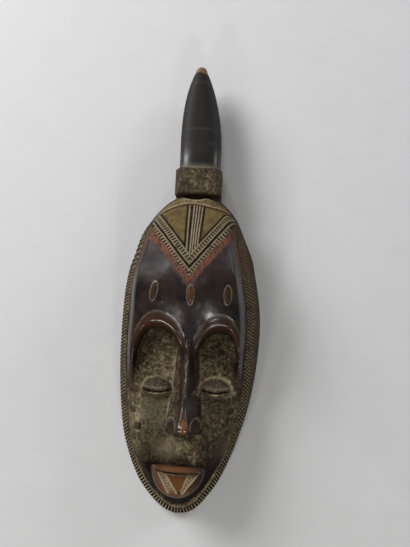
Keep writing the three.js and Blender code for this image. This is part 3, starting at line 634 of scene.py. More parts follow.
# The scars: three long lozenges across the forehead, each split down its middle, and five small square
# studs on the cheeks. Each is a low swelling inside a cut line.
FOREHEAD_MARKS = ((-31, 215, 0.16, 0.4), (3.5, 212.5, 0.0, 0.75), (38, 214, 0.0, 0.4))
FOREHEAD_MARK = {"half": 3.7, "length": 9.6, "rise": 0.9, "edge": 0.6, "split": 0.5}
CHEEK_MARKS = ((-48, 103.8), (-41.6, 89), (-45.4, 79), (45.7, 106), (43.4, 85.6))
CHEEK_MARK = {"half": 3.4, "rise": 0.9, "edge": 0.6}


def carve_marks(x, up, z, finish):
    for middle_x, middle_up, lean, wear in FOREHEAD_MARKS:
        dx = (x - middle_x - lean * (up - middle_up)) / FOREHEAD_MARK["half"]
        du = (up - middle_up) / FOREHEAD_MARK["length"]
        inside = 1 - np.abs(du) ** 2.4 - np.abs(dx) ** 1.5
        z = z + FOREHEAD_MARK["rise"] * smooth(0.05, 0.5, inside)
        z = z - FOREHEAD_MARK["edge"] * bump(inside - 0.55, 0.2)
        z = z - FOREHEAD_MARK["split"] * bump(dx - 0.12, 0.18) * smooth(0.35, 0.6, inside)
        mark(finish, line=0.5 * bump(inside - 0.08, 0.16) * mix(0.5, 1, smooth(-1, 0.2, du)),
             wear=wear * smooth(0.3, 0.6, inside),
             dark=0.6 * bump(dx - 0.15, 0.24) * smooth(0.3, 0.6, inside))
    for middle_x, middle_up in CHEEK_MARKS:
        square = np.maximum(np.abs(x - middle_x), np.abs(up - middle_up)) / CHEEK_MARK["half"]
        round_part = np.hypot(x - middle_x, up - middle_up) / CHEEK_MARK["half"] * 0.85
        r = mix(square, round_part, 0.5) + 0.08 * waver(x, up, 3, 81)
        z = z + CHEEK_MARK["rise"] * (1 - smooth(0.5, 0.85, r)) - CHEEK_MARK["edge"] * bump(r - 0.95, 0.16)
        worn = 1 - smooth(0.4, 0.85, r)
        finish["crust"] *= 0.55 + 0.45 * smooth(0.75, 1.1, r)
        mark(finish, line=0.15 * bump(r - 1.05, 0.2), wear=0.3 * worn,
             dark=np.maximum(0.10 * worn, 0.35 * bump(r - 0.93, 0.14)))
    return z


# The coiffure: raised lines that run in a V from the forehead's middle up to the temples, with ticks
# and a ladder of cut cells between them, a red border outside it, and ochre panels inside it on either
# side of a column of upright lines. A line along the crown closes it.
COIFFURE = {"x": 1.5, "up": 233.5, "left": 1.24, "right": 1.36, "hook_from": 64, "hook": 0.10, "end": 73}
V_LINES = (0.7, 4.4, 9.5)
RAISED_LINE = {"half": 0.62, "rise": 0.9}
V_GROOVES = (((V_LINES[0] + V_LINES[1]) / 2, 1.0), (V_LINES[2] + 1.75, 0.85))
GROOVE = {"v": 0.8, "column": 0.7, "crown": 0.6}
CELL = {"rise": 0.35, "depth": 0.9}
TICKS = {"from": -2.9, "pitch": 3.25, "end": 60, "open": 0.5, "dust": 0.6}
LADDER = {"widest": 3.5, "tapering": 0.016, "open": 0.54, "dust": 0.62}
RED_BORDER = (-9.0, -2.6)
RED_ZONE = {"from": (228, 250), "width": (4.5, 9.0)}
PANEL_FROM = 12.3
COLUMN = {"foot": (-2.5, 9.7, 254), "top": (-2.8, 12.4, 299), "lines": (0, 0.35, 0.565, 0.78, 1), "sunk": 0.5,
          "line_half": 0.56, "groove_out": 1.9}
CROWN_LINE = ((-34, 290.5), (-28.9, 292.9), (-17.4, 298.3), (-3, 302), (10.8, 300.5), (22.6, 297.8),
              (34.3, 295.8))


def v_places(x, up):
    """How far a place lies inside the V's outermost line, and how far along the arm from its point."""
    slope = np.where(x < COIFFURE["x"], COIFFURE["left"], COIFFURE["right"])
    side, rise = np.abs(x - COIFFURE["x"]), up - COIFFURE["up"]
    size = np.hypot(1, slope)
    along = (side + slope * rise) / size
    hook = COIFFURE["hook"] * np.maximum(0, along - COIFFURE["hook_from"]) ** 2
    return (rise - slope * side) / size + hook, along


def cut_cells(phase, share, softness=0.14):
    """1 in the cut cells, 0 on the bars between them, once for every whole number of the phase."""
    across = np.abs(phase - np.round(phase)) * 2
    return 1 - smooth(share - softness, share + softness, across)


def carve_coiffure(x, up, z, finish):
    offset, along = v_places(x, up)
    offset = offset + 0.22 * waver(x, up, 8, 21)
    along = along + 0.3 * waver(x, up, 6, 22)
    arc = up - through(CROWN_LINE, x) + 0.3 * waver(x, up, 6, 24)
    rimward = distance_in(x, up) - rim_inner(x, up)
    end = COIFFURE["end"]
    under_arc = smooth(0.6, -0.6, arc)
    arms = smooth(end + 1.5, end - 2.5, along) * under_arc

    red_zone = 1 - smooth(*RED_ZONE["width"], rimward + 1.5 * waver(x, up, 9, 25))
    red_zone = smooth(*RED_ZONE["from"], up) * red_zone
    red_from = RED_BORDER[0] - 5 * smooth(35, 62, along)
    border = smooth(red_from - 2.6, red_from + 2.6, offset + 1.3 * waver(x, up, 5, 26))
    outside = 1 - smooth(RED_BORDER[1] - 0.4, RED_BORDER[1] + 0.4, offset)
    mark(finish, red=np.maximum(border, 0.75 * red_zone) * outside,
         crust=(0.24 * red_zone + 0.2 * border) * outside)
    dull = np.maximum(smooth(-3.5, -2.0, offset), np.maximum(0.9 * border, 0.5 * red_zone))
    finish["polish"] *= 1 - 0.85 * dull
    for centre in V_LINES:
        ridge = bump(offset - centre, RAISED_LINE["half"])
        z = z + RAISED_LINE["rise"] * ridge * arms
        mark(finish, line=0.72 * ridge * arms)

    in_ticks = smooth(TICKS["from"] - 0.3, TICKS["from"] + 0.3, offset) * (1 - smooth(-0.1, 0.3, offset))
    in_ticks = in_ticks * smooth(TICKS["end"], TICKS["end"] - 2, along) * arms
    ticks = cut_cells(along / TICKS["pitch"], TICKS["open"])
    in_ladder = smooth(V_LINES[1] + 0.5, V_LINES[1] + 1.0, offset)
    in_ladder = in_ladder * (1 - smooth(V_LINES[2] - 1.0, V_LINES[2] - 0.5, offset)) * arms
    tapering = LADDER["tapering"]
    rungs = -np.log(np.maximum(0.1, 1 - tapering * along / LADDER["widest"])) / tapering
    for row, cut, dust in ((in_ticks, ticks, TICKS["dust"]),
                           (in_ladder, cut_cells(rungs, LADDER["open"]), LADDER["dust"])):
        z = z + row * (CELL["rise"] - CELL["depth"] * cut)
        mark(finish, line=dust * row * (1 - cut), dark=0.8 * row * cut)
    for centre, width in V_GROOVES:
        groove = bump(offset - centre, width) * arms
        z = z - GROOVE["v"] * groove
        mark(finish, dark=0.6 * groove)

    (foot_x, foot_width, foot_up), (top_x, top_width, top_up) = COLUMN["foot"], COLUMN["top"]
    share = (up - foot_up) / (top_up - foot_up)
    width = mix(foot_width, top_width, share)
    aside = x - mix(foot_x, top_x, share) + 0.15 * waver(x, up, 7, 27)
    inside = smooth(PANEL_FROM - 2.2, PANEL_FROM - 1.6, offset) * under_arc
    column = smooth(-1.0, -0.6, aside) * (1 - smooth(width + 0.6, width + 1.0, aside)) * inside
    ridge = sum(bump(aside - width * place, COLUMN["line_half"]) for place in COLUMN["lines"])
    z = z + column * (RAISED_LINE["rise"] * ridge - COLUMN["sunk"])
    mark(finish, line=0.95 * column * np.minimum(1, ridge),
         dark=0.12 * column * (1 - smooth(0.1, 0.5, ridge)))
    for centre in (-COLUMN["groove_out"], width + COLUMN["groove_out"]):
        groove = bump(aside - centre, 0.7) * inside
        z = z - GROOVE["column"] * groove
        mark(finish, dark=0.6 * groove)

    panel = smooth(PANEL_FROM - 0.5, PANEL_FROM + 0.3, offset) * under_arc * (1 - column)
    z = z - 0.4 * panel
    mark(finish, panel=panel)
    near_column = smooth(-3.2, -2.4, aside) * (1 - smooth(width + 2.4, width + 3.2, aside))
    finish["panel"] *= 1 - 0.9 * near_column * (1 - column)

    over = (offset > 5) * (along < end + 10)
    groove = bump(arc - 0.7, 0.7) * over
    z = z - GROOVE["crown"] * groove + 0.5 * bump(arc - 2.6, 0.8) * over
    mark(finish, dark=0.55 * groove, red=0.6 * groove, line=0.5 * bump(arc - 2.5, 0.8) * over)
    beyond = np.maximum(smooth(0.8, 2.0, arc) * smooth(0, 3, offset),
                        smooth(end - 2, end + 2, along) * smooth(-6, 0, offset) * smooth(252, 262, up))
    mark(finish, panel=0.62 * beyond, crust=0.7 * beyond)
    return z


# The neck: a scoop between the crown and the block, cut with a gouge and left red, and darkened with
# painted shade under the block. Its edge towards the crown is a pale wavy line.
NECK_EDGE = {"x": 2.0, "up": 308.2, "half": 17, "rise": 5.6, "depth": 6.5, "line_out": 0.9, "line_half": 0.8}


def carve_neck(x, up, z, finish):
    reach = (x - NECK_EDGE["x"]) / NECK_EDGE["half"]
    past = up - NECK_EDGE["up"] - NECK_EDGE["rise"] * reach ** 2 + 0.5 * waver(x, up, 5, 91)
    scoop = smooth(-0.3, 3.2, past) * (np.abs(reach) < 1.4)
    z = z - NECK_EDGE["depth"] * scoop
    for name in ("panel", "crust", "line"):
        finish[name] *= 1 - scoop
    edge_line = bump(past + NECK_EDGE["line_out"], NECK_EDGE["line_half"])
    # Painted shade and red earth in the scoop under the block, and a pale line along its edge.
    mark(finish, dark=0.55 * scoop, red=0.35 * scoop, line=0.7 * edge_line * (np.abs(reach) < 1.5))
    return z


# The skin as a whole: earth lies on the low face and thins out in patches, a painted sheen lies on the
# muzzle, the chin's ledge is dusty over a wall darkened with painted shade, and the forehead is smooth.
# The blade has left faint waves all over.
LOW_FACE = {"top": (150, 128), "foot": (40, 62), "earth": 0.70}
DULL_CROWN = (222, 246)
# The pale patch on the muzzle is a painted sheen, laid on with the pale line finish.
PAINTED_MUZZLE_SHEEN = {"middle": (-11, 71), "size": (11, 8), "dust": 0.30}
FOREHEAD_EARTH = (((-27, 208), (17, 10), 0.12), ((22, 200), (12, 7), 0.10))
DULL_TEMPLE = {"middle": (-36, 246), "size": (16, 22), "loss": 0.3}
RIM_EARTH = {"from": (0, 3), "to": (12, 5), "earth": 0.16}
CHIN_FADE = (45, 75)
BLADE_WAVES = ((0.22, 11, 31), (0.08, 4.5, 32))
# Where the earth lies thicker or thinner: the patch's place and size, and how much more or less.
CRUST_PATCHES = (
    (-30, 188, 10, -0.08), (34, 186, 11, -0.12), (-38, 168, 9, -0.12), (36, 160, 13, -0.20),
    (-22, 150, 10, 0.20), (-12, 140, 7, 0.18), (16, 145, 8, 0.14), (-26, 104, 14, 0.52),
    (-13, 118, 7, 0.22), (22, 104, 9, 0.20), (-50, 150, 9, -0.3), (-52, 128, 9, -0.48),
    (-52, 108, 8, -0.30), (42, 114, 8, -0.14), (48, 95, 10, -0.20), (-49, 84, 8, -0.18),
    (-22, 80, 9, -0.06), (-32, 99, 10, 0.10), (-11, 71, 7, -0.40), (6, 73, 9, 0.02), (18, 76, 8, 0.04),
    (-6, 62, 8, -0.12), (30, 80, 8, -0.06), (34, 64, 8, -0.02), (50, 146, 9, -0.42), (53, 124, 9, -0.46),
    (-34, 62, 9, -0.04),
)


def carved_front(x, up):
    """The height of the front and its finishes."""
    finish = {name: np.zeros(np.shape(x)) for name in FINISHES}
    z = broad_front(x, up)
    rimward = distance_in(x, up) - rim_inner(x, up)
    finish["polish"] = 1 - 0.85 * smooth(*LOW_FACE["top"], up) - 0.3 * smooth(*DULL_CROWN, up)
    finish["polish"] -= DULL_TEMPLE["loss"] * bump(oval(x, up, DULL_TEMPLE["middle"], DULL_TEMPLE["size"]), 1)
    # A painted sheen on the muzzle, and earth on the low face.
    mark(finish, line=PAINTED_MUZZLE_SHEEN["dust"] * bump(oval(x, up, PAINTED_MUZZLE_SHEEN["middle"], PAINTED_MUZZLE_SHEEN["size"]), 1),
         crust=LOW_FACE["earth"] * (smooth(*LOW_FACE["top"], up) * smooth(*LOW_FACE["foot"], up)))
    for middle, size, earth in FOREHEAD_EARTH:
        mark(finish, crust=earth * bump(oval(x, up, middle, size), 1))
    by_rim = smooth(*RIM_EARTH["from"], rimward) * smooth(*RIM_EARTH["to"], rimward)
    mark(finish, crust=RIM_EARTH["earth"] * by_rim)
    chin = 1 - smooth(*CHIN_FADE, up)
    ledge = 1 - smooth(CHIN_LEDGE["width"] - 0.4, CHIN_LEDGE["width"] + 0.8, rimward)
    chin_wall = chin * (1 - ledge)
    finish["crust"] *= 1 - 0.8 * chin_wall
    finish["polish"] *= 1 - chin_wall
    # The chin's steep wall is darkened with painted shade, and its ledge keeps dry earth.
    mark(finish, dark=0.45 * chin_wall, crust=0.62 * chin * ledge)
    z = carve_brows(x, up, z, finish)
    patches = sum(amount * bump(np.hypot(x - px, up - pu), size) for px, pu, size, amount in CRUST_PATCHES)
    finish["crust"] = np.clip(finish["crust"] + patches * smooth(0.1, 0.4, finish["crust"]), 0, 1)
    for carve in (carve_nose, carve_nostrils, carve_eyes, carve_mouth, carve_marks, carve_coiffure,
                  carve_neck):
        z = carve(x, up, z, finish)
    return z + sum(depth * waver(x, up, size, seed) for depth, size, seed in BLADE_WAVES), finish


# The front is one sheet of points. Its rows run from side to side inside the rim, closer together than
# the finest cut is wide, and they are curved along the brows so that the edges there stay clean.
COLUMNS = 146
GATHERING = (0.82, 0.18)
CHIN_ROW, CHIN_BOW = 26, 4
KEY_ROWS = (("chin", 0, 1), (CHIN_ROW, 20, 1), (56, 42, 1), (83, 30, 1), (86.5, 6, 1), (117, 38, 1),
            (139, 28, 1), ("brow_foot", 46, 1), ("brow_top", 24, 1.3), ("crown", 190, 1))
CHIN_ARC, CROWN_ARC = (20, 30, 60, 0), (26, 300, 260, CROWN_TOP)
BROW_END = 160

across_row = np.linspace(-1, 1, COLUMNS + 1)


def closing_arc(half, across, start, end, inset=rim_inner):
    x = through(MIDDLE, across) + half * across_row
    return np.array(find_inset(lambda t: (x, mix(start, end, t)), inset, x.shape))


def side_x(up, side, inset=rim_inner):
    up = np.asarray(up, float)
    middle = through(MIDDLE, up)
    return find_inset(lambda t: (middle + side * t * WIDEST_HALF, up), inset, up.shape)[0]


def row_to(end, shape, inset=rim_inner):
    gathered = GATHERING[0] * across_row + GATHERING[1] * across_row ** 3
    x = mix(side_x(end, -1, inset), side_x(end, 1, inset), (gathered + 1) / 2)
    return np.array((x, np.where(np.abs(across_row) == 1, end, shape(x, across_row))))


def brow_row(drop):
    end = BROW_END - drop

    def shape(x, _):
        place = np.full(x.shape, float(end))
        for socket in SOCKETS:
            mine = (x < NOSE_X) == (socket["x"] < 0)
            run, fall = socket_reach(x, socket)
            arch = socket["up"] - fall * (1 - dome(np.minimum(1, np.abs(x - socket["x"]) / run))) - drop
            place = np.where(mine, np.maximum(arch, end), place)
        return place
    return row_to(end, shape)


def rows_through(keys, inset=rim_inner):
    """All the rows, from (key row, steps up to it, how they gather towards the last one) entries."""
    rows = [keys[0][0]]
    for (start, _, _), (end, steps, gathering) in zip(keys, keys[1:]):
        for step in range(1, steps + 1):
            between = mix(start, end, (step / steps) ** gathering)
            if step < steps:
                left, right_end = between[0, 0], between[0, -1]
                new_left = side_x(between[1, 0], -1, inset)
                new_right = side_x(between[1, -1], 1, inset)
                between[0] = mix(new_left, new_right, (between[0] - left) / (right_end - left))
            else:
                between = end
            rows.append(between)
    return np.array(rows)


key_shapes = {
    "chin": closing_arc(*CHIN_ARC), "crown": closing_arc(*CROWN_ARC), "brow_foot": brow_row(BROW["top"]),
    "brow_top": brow_row(0), CHIN_ROW: row_to(CHIN_ROW, lambda x, a: CHIN_ROW - CHIN_BOW * (1 - a * a)),
}


def key_rows(entries, shapes, inset=rim_inner):
    """Each key row, a shape of its own or a level one, with the steps up to it and how they gather."""
    return [(shapes[k] if k in shapes else row_to(k, lambda x, a, k=k: np.full(x.shape, float(k)), inset),
             steps, gathering) for k, steps, gathering in entries]


front_rows = rows_through(key_rows(KEY_ROWS, key_shapes))


class Shell:
    """Points with their finishes, and faces, joined into one closed body."""

    def __init__(self):
        self.points, self.finishes, self.faces, self.count = [], {name: [] for name in FINISHES}, [], 0

    def add(self, x, up, z, **finish):
        shape = np.broadcast(x, up, z).shape
        full = [np.broadcast_to(value, shape).ravel() for value in (x, up, z)]
        self.points.append(np.stack(full, 1))
        for name in FINISHES:
            self.finishes[name].append(np.broadcast_to(finish.get(name, 0.0), shape).ravel())
        ids = np.arange(self.count, self.count + full[0].size).reshape(shape)
        self.count += full[0].size
        return ids

    def sheet(self, ids, closed=False, turned=False):
        """Quads over a table of points, its rows running left to right and from the bottom up."""
        ids = np.concatenate((ids, ids[:, :1]), 1) if closed else ids
        quads = np.stack((ids[:-1, :-1], ids[:-1, 1:], ids[1:, 1:], ids[1:, :-1]), -1).reshape(-1, 4)
        self.faces.extend((quads[:, ::-1] if turned else quads).tolist())

    def band(self, inner, outer):
        """Triangles between two closed rings that need not have the same number of points."""
        i = o = 0
        n, m = len(inner), len(outer)
        while i < n or o < m:
            if o >= m or (i < n and (i + 1) / n <= (o + 1) / m):
                self.faces.append((int(inner[i % n]), int(outer[o % m]), int(inner[(i + 1) % n])))
                i += 1
            else:
                self.faces.append((int(inner[i % n]), int(outer[o % m]), int(outer[(o + 1) % m])))
                o += 1

    def mesh(self, name):
        mesh = bpy.data.meshes.new(name)
        points = np.concatenate(self.points)
        points[:, 0] -= CENTRE[0]
        points[:, 1] -= LENGTH / 2 + CENTRE[1]
        mesh.from_pydata((points / 1000).tolist(), [], self.faces)
        for finish in FINISHES:
            layer = mesh.attributes.new(finish, "FLOAT", "POINT")
            layer.data.foreach_set("value", np.concatenate(self.finishes[finish]).astype(np.float32))
        return mesh


def ring_of(table):
    """The edge of a table of points, once round and anticlockwise."""
    return np.concatenate((table[0], table[1:-1, -1], table[-1][::-1], table[1:-1, 0][::-1]))


def outline_beyond(x, up, spare=1.6):
    """The outline point straight out from each point on the inner edge of the rim."""
    dx, du = outline_slope(x, up)
    reach = rim_inner(x, up) * spare / np.hypot(dx, du)
    return find_inset(lambda t: (x + dx * reach * t, up + du * reach * t), lambda *_: 0, x.shape)


body = Shell()
front_x, front_up = front_rows[:, 0], front_rows[:, 1]
front_z, front_finish = carved_front(front_x, front_up)
ends = np.zeros(front_x.shape)
ends[0] = ends[-1] = ends[:, 0] = ends[:, -1] = 1
front_z = np.where(ends > 0, broad_front(front_x, front_up), front_z)
grid = body.add(front_x, front_up, front_z, **front_finish)
body.sheet(grid)

inner_x, inner_up = ring_of(front_x), ring_of(front_up)
outline_x, outline_up = outline_beyond(inner_x, inner_up)


def inset_ring(distance):
    size = np.hypot(inner_x - outline_x, inner_up - outline_up)
    t = np.minimum(1, distance(outline_x, outline_up) / size)
    return mix(outline_x, inner_x, t), mix(outline_up, inner_up, t)


# The strokes are cut across the flange one by one: deep and square to the edge at the chin, like the
# teeth of a comb, slanting down and out along the sides, and short round dabs high on the left.
STROKE_STEPS = 8
FLANGE_STEPS = 6
FILLET_STEPS = (0.15, 0.55)
SLANT = 1.25
SLANT_FADE = (12, 60)
CHIN_CUT = {"depth": 3.0, "notch": 1.7, "fade": (70, 25)}
SIDE_NOTCH = 0.35
DABS = {"from": (236, 246), "pitch": 0.62, "at": 0.35, "width": 0.3}
STROKES_END = {"both": (268, 284), "right": (225, 240), "loss": 0.65}
BAR = (0.28, 0.58)
RIM_RED = {"from": (190, 235), "most": 0.9}

edge_x, edge_up = inset_ring(spread)
fillet_x, fillet_up = inset_ring(lambda x, up: spread(x, up) + stroke_width(up))
lengths = np.hypot(np.roll(edge_x, -1) - edge_x, np.roll(edge_up, -1) - edge_up)
travelled = np.concatenate(((0,), np.cumsum(lengths)))
strokes = int(round(travelled[-1] / STROKE["pitch"]))
stations = np.arange(strokes * STROKE_STEPS) / (strokes * STROKE_STEPS) * travelled[-1]


def at_stations(ring):
    return np.interp(stations, travelled, np.append(ring, ring[0]))


inner_x, inner_up = at_stations(inner_x), at_stations(inner_up)
foot_x, foot_up = at_stations(outline_x), at_stations(outline_up)
edge_x, edge_up = at_stations(edge_x), at_stations(edge_up)
fillet_x, fillet_up = at_stations(fillet_x), at_stations(fillet_up)
side = np.where(edge_x < through(MIDDLE, edge_up), -1.0, 1.0)
slant = SLANT * side * smooth(*SLANT_FADE, edge_up)
chin = smooth(*CHIN_CUT["fade"], edge_up)
dabs = smooth(*DABS["from"], edge_up) * (side < 0)
stroke_number = np.arange(len(stations)) / STROKE_STEPS * np.where(dabs > 0.5, DABS["pitch"], 1.0)
cut = 1 - STROKES_END["loss"] * smooth(*STROKES_END["right"], edge_up) * (side > 0)
cut = (1 - smooth(*STROKES_END["both"], edge_up)) * cut
centre_x, centre_up = through(MIDDLE, WIDEST_UP), WIDEST_UP
redness = smooth(*RIM_RED["from"], edge_up) * (1 - crown_part(edge_up)) * RIM_RED["most"]
flange = []
for step in FILLET_STEPS:
    x, up = mix(inner_x, fillet_x, step), mix(inner_up, fillet_up, step)
    flange.append(body.add(
        x, up, rim_height(up) + 0.35 * math.sin(math.pi * step) + 0.15 * waver(x, up, 6, 42),
        crust=0.30 + 0.55 * chin, line=0.30 * bump(step - 0.5, 0.4), red=redness,
        dark=0.25 * (step < 0.3) * (1 - chin)))
for step in range(FLANGE_STEPS + 1):
    q = step / FLANGE_STEPS
    x, up = mix(fillet_x, edge_x, q), mix(fillet_up, edge_up, q)
    phase = stroke_number + slant * q + 0.12 * waver(x, up, 6, 41)
    across = np.abs(phase - np.round(phase)) * 2
    bar = 1 - smooth(*BAR, across)
    window = smooth(0.0, 0.2, q)
    groove = (1 - bar) * window * cut
    depth = groove * mix(STROKE["depth"], CHIN_CUT["depth"], chin)
    notch = (1 - bar) * q ** 3 * cut * mix(SIDE_NOTCH, CHIN_CUT["notch"], chin)
    scale = 1 - notch / np.hypot(x - centre_x, up - centre_up)
    x, up = mix(centre_x, x, scale), mix(centre_up, up, scale)
    z = mix(rim_height(up), rim_height(up) - rim_fall(up), q ** 1.3) - depth
    dab = mix(1, bump(q - DABS["at"], DABS["width"]), dabs)
    # The strokes' grooves hold dirt, and between the chin's teeth they are darkened further with painted
    # shade.
    flange.append(body.add(
        x, up, z, line=mix(0.50, 0.68, chin) * bar * window * cut * dab, red=redness,
        dark=mix(0.62, 0.9, chin) * groove * mix(1, 0.6, dabs), crust=0.5 - 0.15 * window, polish=0.25))
gaps = (1 - bar) * cut * chin
flange = np.array(flange)
body.band(ring_of(grid), flange[0])
body.sheet(flange, closed=True, turned=True)

# The outer wall runs from the strokes down to the flat edge that the mask lies on. It is left rough
# from the blade, with earth and red in it, darkened with painted shade at the chin and behind the
# chin's teeth, and its lowest edge is rubbed round.
WALL_ROWS = (0.12, 0.30, 0.5, 0.7, 0.86, 0.955)
WALL_ROUGHNESS = {"depth": 0.25, "size": 9, "seed": 43}
WALL_FINISH = {"crust": 0.4, "red": 0.5, "polish": 0.3}
EVERY_FOURTH = slice(None, None, 4)
FOOT_BEVEL = 0.6

last_x, last_up, last_z = x, up, z
smooth_z = rim_height(edge_up) - rim_fall(edge_up)
upper_wall = [flange[-1]]
for t in WALL_ROWS[:2]:
    keep = (1 - t / WALL_ROWS[1]) ** 2
    wall_x = mix(edge_x, foot_x, t) + keep * (last_x - edge_x)
    wall_up = mix(edge_up, foot_up, t) + keep * (last_up - edge_up)
    wall_z = mix(smooth_z * (1 - t), last_z * (1 - t), keep)
    # Painted shade behind the gaps between the chin's teeth, and over the wall at the chin.
    dirt_and_shade_amount = np.maximum(0.9 * gaps * math.sqrt(keep), 0.4 * chin)
    upper_wall.append(body.add(wall_x, wall_up, wall_z, dark=dirt_and_shade_amount, **WALL_FINISH))
body.sheet(np.array(upper_wall), closed=True, turned=True)
lower_wall = []
for t in WALL_ROWS[2:]:
    wall_x, wall_up, wall_z = (wall[EVERY_FOURTH] for wall in (
        mix(edge_x, foot_x, t), mix(edge_up, foot_up, t), smooth_z * (1 - t)))
    rough = WALL_ROUGHNESS["depth"] * np.abs(waver(
        wall_x + 3 * t, wall_up, WALL_ROUGHNESS["size"], WALL_ROUGHNESS["seed"]))
    wall_x = wall_x - rough * side[EVERY_FOURTH]
    # Painted shade on the lower wall at the chin.
    lower_wall.append(body.add(wall_x, wall_up, wall_z, dark=0.4 * chin[EVERY_FOURTH], **WALL_FINISH))
for lift, bevel in ((FOOT_BEVEL, 0.0), (0.0, FOOT_BEVEL)):
    scale = 1 - bevel / np.hypot(foot_x - centre_x, foot_up - centre_up)
    wall_x, wall_up = mix(centre_x, foot_x, scale), mix(centre_up, foot_up, scale)
    lower_wall.append(body.add(wall_x[EVERY_FOURTH], wall_up[EVERY_FOURTH], lift, crust=0.3))
body.band(upper_wall[-1], lower_wall[0])
body.sheet(np.array(lower_wall), closed=True, turned=True)

# Behind, the wood is hollowed with a gouge to take the wearer's face, and a wall is left all round.
# The gouge's shallow hollows are left as they fell.
HOLLOW_WALL, HOLLOW_RUN, HOLLOW_EDGE = 14, 20, 0.25
HOLLOW_HEIGHT = ((24, 18), (50, 33), (70, 36), (95, 32), (125, 28), (172, 27), (192, 38), (216, 56),
                 (250, 52), (280, 38), (306, 22))
HOLLOW_ROWS = (("foot", 0, 1), (70, 12, 1), (181, 26, 1), (250, 18, 1), ("top", 16, 1))
HOLLOW_FOOT_ARC, HOLLOW_TOP_ARC = (13, 30, 90, 0), (19, 300, 240, CROWN_TOP)
HOLLOW_COLUMNS = 40
GOUGE = {"depth": 0.6, "length": 9, "narrowing": 2.2, "seed": 51}

# From here the rows have only this many points across, because the hollow has no fine cuts.
across_row = np.linspace(-1, 1, HOLLOW_COLUMNS + 1)


def hollow_inset(x, up):
    return HOLLOW_WALL


hollow_shapes = {
    "foot": closing_arc(*HOLLOW_FOOT_ARC, hollow_inset), "top": closing_arc(*HOLLOW_TOP_ARC, hollow_inset),
}
hollow_rows = rows_through(key_rows(HOLLOW_ROWS, hollow_shapes, hollow_inset), hollow_inset)
hollow_x, hollow_up = hollow_rows[:, 0], hollow_rows[:, 1]
vault = round_over(distance_in(hollow_x, hollow_up) - HOLLOW_WALL, HOLLOW_RUN, 2)
gouged = GOUGE["depth"] * waver(hollow_x * GOUGE["narrowing"], hollow_up, GOUGE["length"], GOUGE["seed"])
hollow_z = through(HOLLOW_HEIGHT, hollow_up) * mix(HOLLOW_EDGE, 1, vault) - np.abs(gouged) * vault
ceiling = body.add(hollow_x, hollow_up, hollow_z, crust=0.35)
body.sheet(ceiling, turned=True)
hollow_foot = body.add(ring_of(hollow_x), ring_of(hollow_up), 0.0, crust=0.3)
body.band(hollow_foot, ring_of(ceiling))
body.band(lower_wall[-1], hollow_foot)

# The block above the crown and the tall horn that stands on it, flat in front and tapering to a worn
# tip, are the same piece of wood. The block has kept its red and ochre earth, and the horn is greyer.
BLOCK = {"x": 3.4, "from": 300, "to": 341, "front": 18.7, "back": 23.3, "low": 6, "high": 44, "shoulder": 9,
         "neck": 2.6, "neck_drop": 5.5, "neck_at": 314.5, "side_steps": 20, "softenings": 3, "levels": 16}
BLOCK_EARTH = {"upper": (-4.6, 334), "lower": (13.4, 322), "grey": (2.4, 326)}
HORN = {"from": 338, "widest_at": 365, "half": 20.8, "curve": 2.15, "across": 1.4, "depth": 0.82,
        "blunt": 1.5, "cap": 6.0, "base": (3.9, 350), "tip": (0.6, 450), "height": 26, "backwards": 4,
        "forwards": 3, "square": (3.3, 2.1), "levels": 70, "gathering": 1.9}
HORN_RINGS = {"at": (366, 378, 382, 401, 431, 434), "bow": 0.004, "half": 0.5, "dust": 0.05}
WORN_TIP, DUSTY_FOOT = (441.5, 444.5), 342.0


def lofted(name, sections, finish):
    """A closed body through rings of points, its ends drawn in to a point."""
    shell = Shell()
    rings = [shell.add(*section.T, **finish(section)) for section in sections]
    shell.sheet(np.array(rings), closed=True)
    for ring, section, turned in ((rings[0], sections[0], True), (rings[-1], sections[-1], False)):
        centre = shell.add(*section.mean(0)[:, None], **finish(section.mean(0)[None]))
        loop = ring[::-1] if turned else ring
        for a, b in zip(loop, np.roll(loop, -1)):
            shell.faces.append((int(a), int(b), int(centre[0])))
    return shell.mesh(name)


def block_section(up, shrink):
    back, front = BLOCK["back"] - shrink, BLOCK["front"] - shrink
    high = BLOCK["high"] - shrink * (1 + BLOCK["neck_drop"] / BLOCK["neck"] * (up < BLOCK["neck_at"] + 1))
    shoulder = high - BLOCK["shoulder"]
    right_side = ((back, BLOCK["low"]), (back, shoulder), (front, high))
    corners = np.array(right_side + tuple((-out, height) for out, height in right_side[::-1]))
    share = np.arange(BLOCK["side_steps"])[:, None] / BLOCK["side_steps"]
    ring = np.concatenate([mix(a, b, share) for a, b in zip(corners, np.roll(corners, -1, 0))])
    for _ in range(BLOCK["softenings"]):
        ring = (np.roll(ring, 1, 0) + 2 * ring + np.roll(ring, -1, 0)) / 4
    x, z = BLOCK["x"] + ring[:, 0], ring[:, 1]
    z = z + 0.25 * waver(x, np.full(x.shape, up) + z, 7, 61)
    return np.stack((x, np.full(x.shape, float(up)), z), 1)


def block_finish(section):
    x, up, z = section.T
    neck = smooth(BLOCK["neck_at"] + 0.5, BLOCK["neck_at"] - 1.0, up)
    front = smooth(BLOCK["front"] + 1, BLOCK["front"] - 2, np.abs(x - BLOCK["x"]))
    ends = np.maximum(bump(up - BLOCK["to"], 1.6), bump(up - BLOCK["neck_at"], 1.6))
    upper, lower, middle = (oval(x, up, BLOCK_EARTH[name], (1, 1)) for name in ("upper", "lower", "grey"))
    ochre = bump(upper, 8) + 0.6 * bump(lower, 7)
    grey = bump(middle, 7) * front
    # The block's neck is darkened with painted shade, as the scoop below it is.
    return {"crust": (0.42 + 0.24 * ochre * front + 0.14 * waver(x, up, 9, 62)) * (1 - neck),
            "red": np.maximum(0.44 + 0.3 * waver(x + z, up, 8, 63), 0.6 * ends) * (1 - 0.8 * grey),
            "horn": 0.8 * grey, "dark": 0.5 * neck, "polish": 0.35 + 0.2 * grey}


